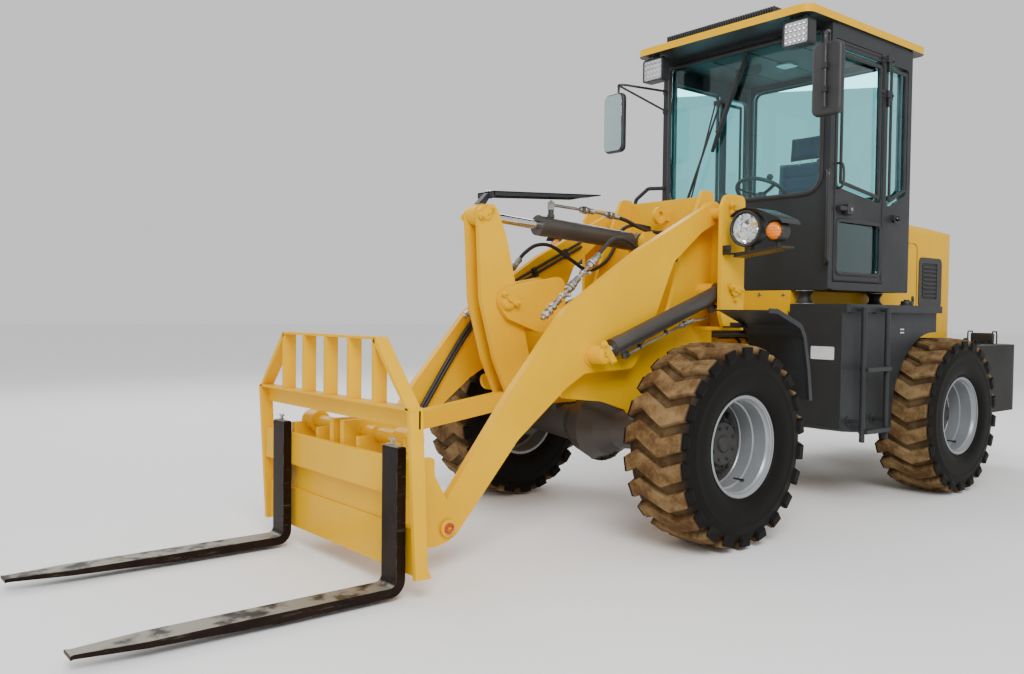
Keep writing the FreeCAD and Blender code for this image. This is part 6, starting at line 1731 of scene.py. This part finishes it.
def seat():
    """The driver's seat: stuffed pads, piping, posts, bellows and armrest pads."""
    pads, piping = Shape(), Shape()
    lean = Vector((-0.0995, 0, 0.995))
    edges = [
        crowned_cushion(pads, at(-1970, 0, 1804), X_AXIS, Y_AXIS, 0.178, 0.232, 0.112,
                        (-0.45, 0.0, 0.45), 0.006),
        crowned_cushion(pads, at(-2140, 0, 2126), -lean, Y_AXIS, 0.256, 0.222, 0.086,
                        (-0.55, -0.1, 0.35), 0.01),
        crowned_cushion(pads, at(-2172, 0, 2485), -lean, Y_AXIS, 0.084, 0.127, 0.08, (), 0.0),
    ]
    cushions = pads.piece("seat_pads", REAR, SEAT_FABRIC, "seat", angle=60, levels=1)
    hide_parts("seat_cushions")
    for edge in edges:
        piping.tube(edge, 0.0042, 8, closed=True)
    piping.piece("seat_piping", REAR, BLACK_PLASTIC, "plastic", angle=60)
    posts = Shape()
    for y in (-50, 50):
        posts.rod(at(-2164, y, 2360), at(-2168, y, 2425), 0.007, 16)
    posts.piece("head_restraint_posts", REAR, PLATED_ROD, "chrome")
    shell = Shape()
    for z_low in range(1470, 1630, 26):
        loops = []
        for z, grow in ((z_low, -4), (z_low + 9, 7), (z_low + 13, 7), (z_low + 22, -4)):
            outline = rounded_loop(-2180 - grow, -1860 + grow, -200 - grow, 200 + grow, 34)
            loops.append([at(u, v, z) for u, v in outline])
        shell.rings(loops)
    shell.piece("seat_bellows", REAR, BLACK_RUBBER, "plastic", angle=60)
    rests, belt = Shape(), Shape()
    for side in WAYS:
        low_y, high_y = span(240, 288, side)
        soft_case(rests, at(-2172, low_y, 1921), at(-1838, high_y, 1946), 0.012, 0.01)
        belt.block(at(-2120, 236 * side - 12, 1700), at(-2108, 236 * side + 12, 1880))
        soft_case(belt, at(-2130, 236 * side - 16, 1876), at(-2098, 236 * side + 16, 1918), 0.008, 0.004)
    rests.piece("armrest_pads", REAR, BLACK_PLASTIC, "plastic", angle=50)
    belt.piece("belt_buckles", REAR, BLACK_PLASTIC, "plastic", bevel=0.001)


def steering_column():
    """The steering wheel with its spokes, cap and spinner, and the column's gaiter and stalk."""
    tilt = Vector((-0.5, 0, 0.866)).normalized()
    base = at(-1600, 0, 2060)
    middle = base + tilt * 0.0403
    across, ahead = Y_AXIS, tilt.cross(Y_AXIS)
    wheel = Shape()
    ring = circle(middle, across, ahead, 0.185, 80)
    wheel.tube(ring, 0.0138, 16, closed=True, normal=tilt)
    for angle in (90, 210, 330):
        turn = radians(angle)
        aim = across * cos(turn) + ahead * sin(turn)
        places = [middle - tilt * 0.014 + aim * 0.03, middle - tilt * 0.012 + aim * 0.1,
                  middle + aim * 0.176]
        wheel.tube(smooth_line(places, 12), 0.013, 12, flat=0.45, normal=tilt)
    wheel.lathe([(0, 0), (0, 0.034), (0.03, 0.036), (0.0385, 0.03), (0.04, 0.022),
                 (0.04, 0)], base, tilt, 40, closed=False)
    wheel_piece = wheel.piece("steering_wheel_rim", REAR, BLACK_PLASTIC, "plastic", angle=50)
    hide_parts("steering_wheel")
    knob = Shape()
    foot = middle + (across * 0.7 - ahead * 0.71) * 0.172 + tilt * 0.012
    knob.lathe([(0, 0), (0, 0.008), (0.012, 0.008), (0.018, 0.019), (0.034, 0.023),
                (0.046, 0.018), (0.05, 0.008), (0.05, 0)], foot, tilt, 24, closed=False)
    knob.piece("steering_knob", REAR, BLACK_PLASTIC, "plastic", angle=60)
    boot = Shape()
    profile = [(-0.075, 0), (-0.075, 0.06)]
    for i in range(5):
        profile += [(-0.066 + 0.013 * i, 0.052 - 0.004 * i), (-0.06 + 0.013 * i, 0.044 - 0.004 * i)]
    boot.lathe(profile + [(0, 0.031), (0, 0)], base, tilt, 32, closed=False)
    boot.tube(smooth_line([base - tilt * 0.03, base - tilt * 0.028 + Y_AXIS * 0.09,
                           base - tilt * 0.01 + Y_AXIS * 0.17], 12), 0.006, 12)
    boot.piece("column_gaiter", REAR, BLACK_RUBBER, "plastic", angle=60)


def dash():
    """Gauges on the pod, lever gaiters and switches on the console, pedals and the floor mat."""
    up = (at(-1480, 0, 2060) - at(-1500, 0, 1965)).normalized()
    out = up.cross(Y_AXIS).normalized()
    if out.x > 0:
        out = -out
    bezels, faces, needles = Shape(), Shape(), Shape()
    for y, radius in ((-95, 0.03), (0, 0.036), (95, 0.03)):
        centre = at(-1490, y, 2012) + out * 0.001
        bezels.lathe([(-0.002, radius), (0.006, radius), (0.009, radius * 0.94), (0.006, radius * 0.86),
                      (-0.002, radius * 0.86)], centre, out, 40)
        faces.rod(centre - out * 0.001, centre + out * 0.0025, radius * 0.87, 40)
        aim = up * 0.8 + Y_AXIS * 0.5
        root = centre + out * 0.004
        needles.rod(root - aim * radius * 0.15, root + aim * radius * 0.65, 0.0012, 6)
        for i in range(9):
            turn = radians(-120 + 30 * i)
            aim = (up * cos(turn) + Y_AXIS * sin(turn)) * radius
            root = centre + out * 0.003
            needles.rod(root + aim * 0.68, root + aim * 0.8, 0.0009, 6)
    bezels.piece("gauge_bezels", REAR, BLACK_PLASTIC, "plastic")
    faces.piece("gauge_faces", REAR, BARE_PLATE, "plastic")
    needles.piece("gauge_needles", REAR, RED_LENS, "plastic")
    gaiters, switches = Shape(), Shape()
    profile = [(0, 0), (0, 0.062)]
    for i in range(5):
        profile += [(0.01 + 0.014 * i, 0.05 - 0.008 * i), (0.016 + 0.014 * i, 0.04 - 0.0065 * i)]
    gaiters.lathe(profile + [(0.085, 0.012), (0.085, 0)], at(-1802, -440, 1988),
                  at(-1760, -440, 2110) - at(-1800, -440, 1990), 32, closed=False)
    gaiters.piece("lever_gaiter", REAR, BLACK_RUBBER, "plastic", angle=60)
    slope = (at(-1800, 0, 2000) - at(-2200, 0, 1960)).normalized()
    lift = Y_AXIS.cross(slope)
    lift = -lift if lift.z < 0 else lift
    for y in (-500, -460, -420, -380):
        for step in range(3):
            centre = at(-2180, y, 1962.5) + slope * (0.03 + 0.045 * step)
            low = [centre + slope * u + Y_AXIS * v
                   for u, v in ((-0.016, -0.011), (0.016, -0.011), (0.016, 0.011), (-0.016, 0.011))]
            top = [place + lift * (0.004 if i in (0, 3) else 0.009) for i, place in enumerate(low)]
            switches.rings([low, top])
    switches.piece("console_switches", REAR, GREY_PLASTIC, "plastic", bevel=0.001)
    pedals = Shape()
    for y, wide in ((-130, 60), (110, 80), (210, 50)):
        pad = [at(-1475, y - wide / 2, 1520), at(-1475, y + wide / 2, 1520), at(-1440, y + wide / 2, 1600),
               at(-1440, y - wide / 2, 1600)]
        pedals.rings([pad, [place + Vector((0.008, 0, -0.003)) for place in pad]])
        pedals.rod(at(-1455, y, 1560), at(-1405, y, 1500), 0.007, 12)
        for i in range(4):
            share = (i + 0.5) / 4
            low = pad[0].lerp(pad[3], share) - Vector((0.002, 0, 0))
            high = pad[1].lerp(pad[2], share) - Vector((0.002, 0, 0))
            pedals.rod(low, high, 0.003, 8)
    pedals.piece("pedals", REAR, BLACK_RUBBER, "plastic", bevel=0.001)
    mat = Shape()
    mat.prism(rounded_loop(-1800, -1538, -330, 600, 30), "Z", (1453, 1457))
    for y in range(-310, 590, 22):
        mat.rod(at(-1790, y, 1457), at(-1550, y, 1457), 0.003, 8)
    mat.piece("floor_mat", REAR, BLACK_RUBBER, "plastic")


def headliner():
    """The moulded headliner with its lamp, the sun blind and the inner mirror."""
    liner = Shape()
    soft_case(liner, at(-2328, -645, 3066), at(-1398, 645, 3104), 0.04, 0.012, "Z")
    for y in (-320, 0, 320):
        liner.rod(at(-2280, y, 3066), at(-1450, y, 3066), 0.006, 12)
    liner.piece("headliner_panel", REAR, BLACK_PLASTIC, "plastic", angle=50)
    lamp = Shape()
    soft_case(lamp, at(-1950, -60, 3050), at(-1830, 60, 3068), 0.016, 0.005, "Z")
    lamp.piece("dome_lamp", REAR, CLEAR_LENS, "glass", angle=50)
    glass, arm = Shape(), Shape()
    soft_case(arm, at(-1432, -110, 2900), at(-1412, 110, 2968), 0.02, 0.008)
    arm.rod(at(-1420, 0, 2966), at(-1412, 0, 3068), 0.006, 12)
    arm.piece("inner_mirror_case", REAR, BLACK_PLASTIC, "plastic", angle=50)
    glass.prism(rounded_loop(-104, 104, 2906, 2962, 16), "X", (-1433.5, -1431))
    glass.piece("inner_mirror_glass", REAR, MIRROR_GLASS, "glass")
    trim = Shape()
    for side in WAYS:
        for x in (-1405, -2325):
            post = rounded_loop(x - 14, x + 14, *span(628, 650, side), 6)
            trim.prism(post, "Z", (1456, 3066))
    trim.piece("post_trims", REAR, GREY_PLASTIC, "plastic", angle=50)


for build in (window_seals, door_furniture, wiper, mirrors, work_light_faces, roof_trim, headlamps,
              boom_pins, lift_lines, tilt_lines, guard_folds, boom_lines, deck, step_details,
              hood_details, exhaust_pipe, counterweight_details, carriage_frame, carriage_details,
              boom_welds, drive_line, steering_hoses, seat, steering_column, dash, headliner):
    build()


# ------------------------------------------------------------------ camera, light and floor

def camera():
    """The view from the front left, a little above the height of the tyres."""
    lens_data = bpy.data.cameras.new("camera")
    lens_data.lens = 31.71
    lens_data.sensor_width = 36.0
    eye, place = placed("camera", lens_data), Vector((4.39805, 3.88915, 1.23416))
    yaw, pitch, roll = radians(230.49), radians(1.67), radians(0.66)
    ahead = Vector((cos(pitch) * cos(yaw), cos(pitch) * sin(yaw), -sin(pitch)))
    right = Vector((sin(yaw), -cos(yaw), 0))
    upward = right.cross(ahead)
    right_turned = right * cos(roll) + upward * sin(roll)
    up_turned = upward * cos(roll) - right * sin(roll)
    turned = Matrix((right_turned, up_turned, -ahead)).transposed().to_4x4()
    eye.matrix_world = Matrix.Translation(place) @ turned
    bpy.context.scene.camera = eye


def area_light(name, place, target, size, power, colour=(1, 1, 1)):
    """A square soft box that looks at a target."""
    data = bpy.data.lights.new(name, "AREA")
    data.shape = "SQUARE"
    data.size = size
    data.energy = power
    data.color = colour
    lamp = placed(name, data)
    lamp.location = place
    lamp.rotation_mode = "QUATERNION"
    lamp.rotation_quaternion = (Vector(target) - Vector(place)).to_track_quat("-Z", "Y")


def studio():
    """A pale floor, an even sky and three soft boxes."""
    floor_mesh = bpy.data.meshes.new("floor")
    reach = 60.0
    floor_mesh.from_pydata([(-reach, -reach, 0), (reach, -reach, 0), (reach, reach, 0), (-reach, reach, 0)],
                           [], [(0, 1, 2, 3)])
    floor = placed("floor", floor_mesh)
    finish = Finish("floor_white")
    cloud = finish.noise(0.6, 3.0)
    finish.tint(cloud, (0.9, 0.9, 0.9, 1), (0.94, 0.94, 0.94, 1))
    finish.set(Roughness=0.9)
    floor_mesh.materials.append(finish.material)
    world = bpy.data.worlds.new("soft_sky")
    world.use_nodes = True
    world.node_tree.nodes["Background"].inputs["Color"].default_value = (1, 1, 1, 1)
    world.node_tree.nodes["Background"].inputs["Strength"].default_value = 0.85
    bpy.context.scene.world = world
    target = (0.0, 0.0, 1.0)
    area_light("key_box", (5.5, 7.0, 7.5), target, 5.0, 900)
    area_light("fill_box", (1.5, -8.5, 6.5), target, 5.0, 260)
    area_light("back_box", (-7.0, -5.0, 7.0), target, 5.0, 300)


camera()
studio()
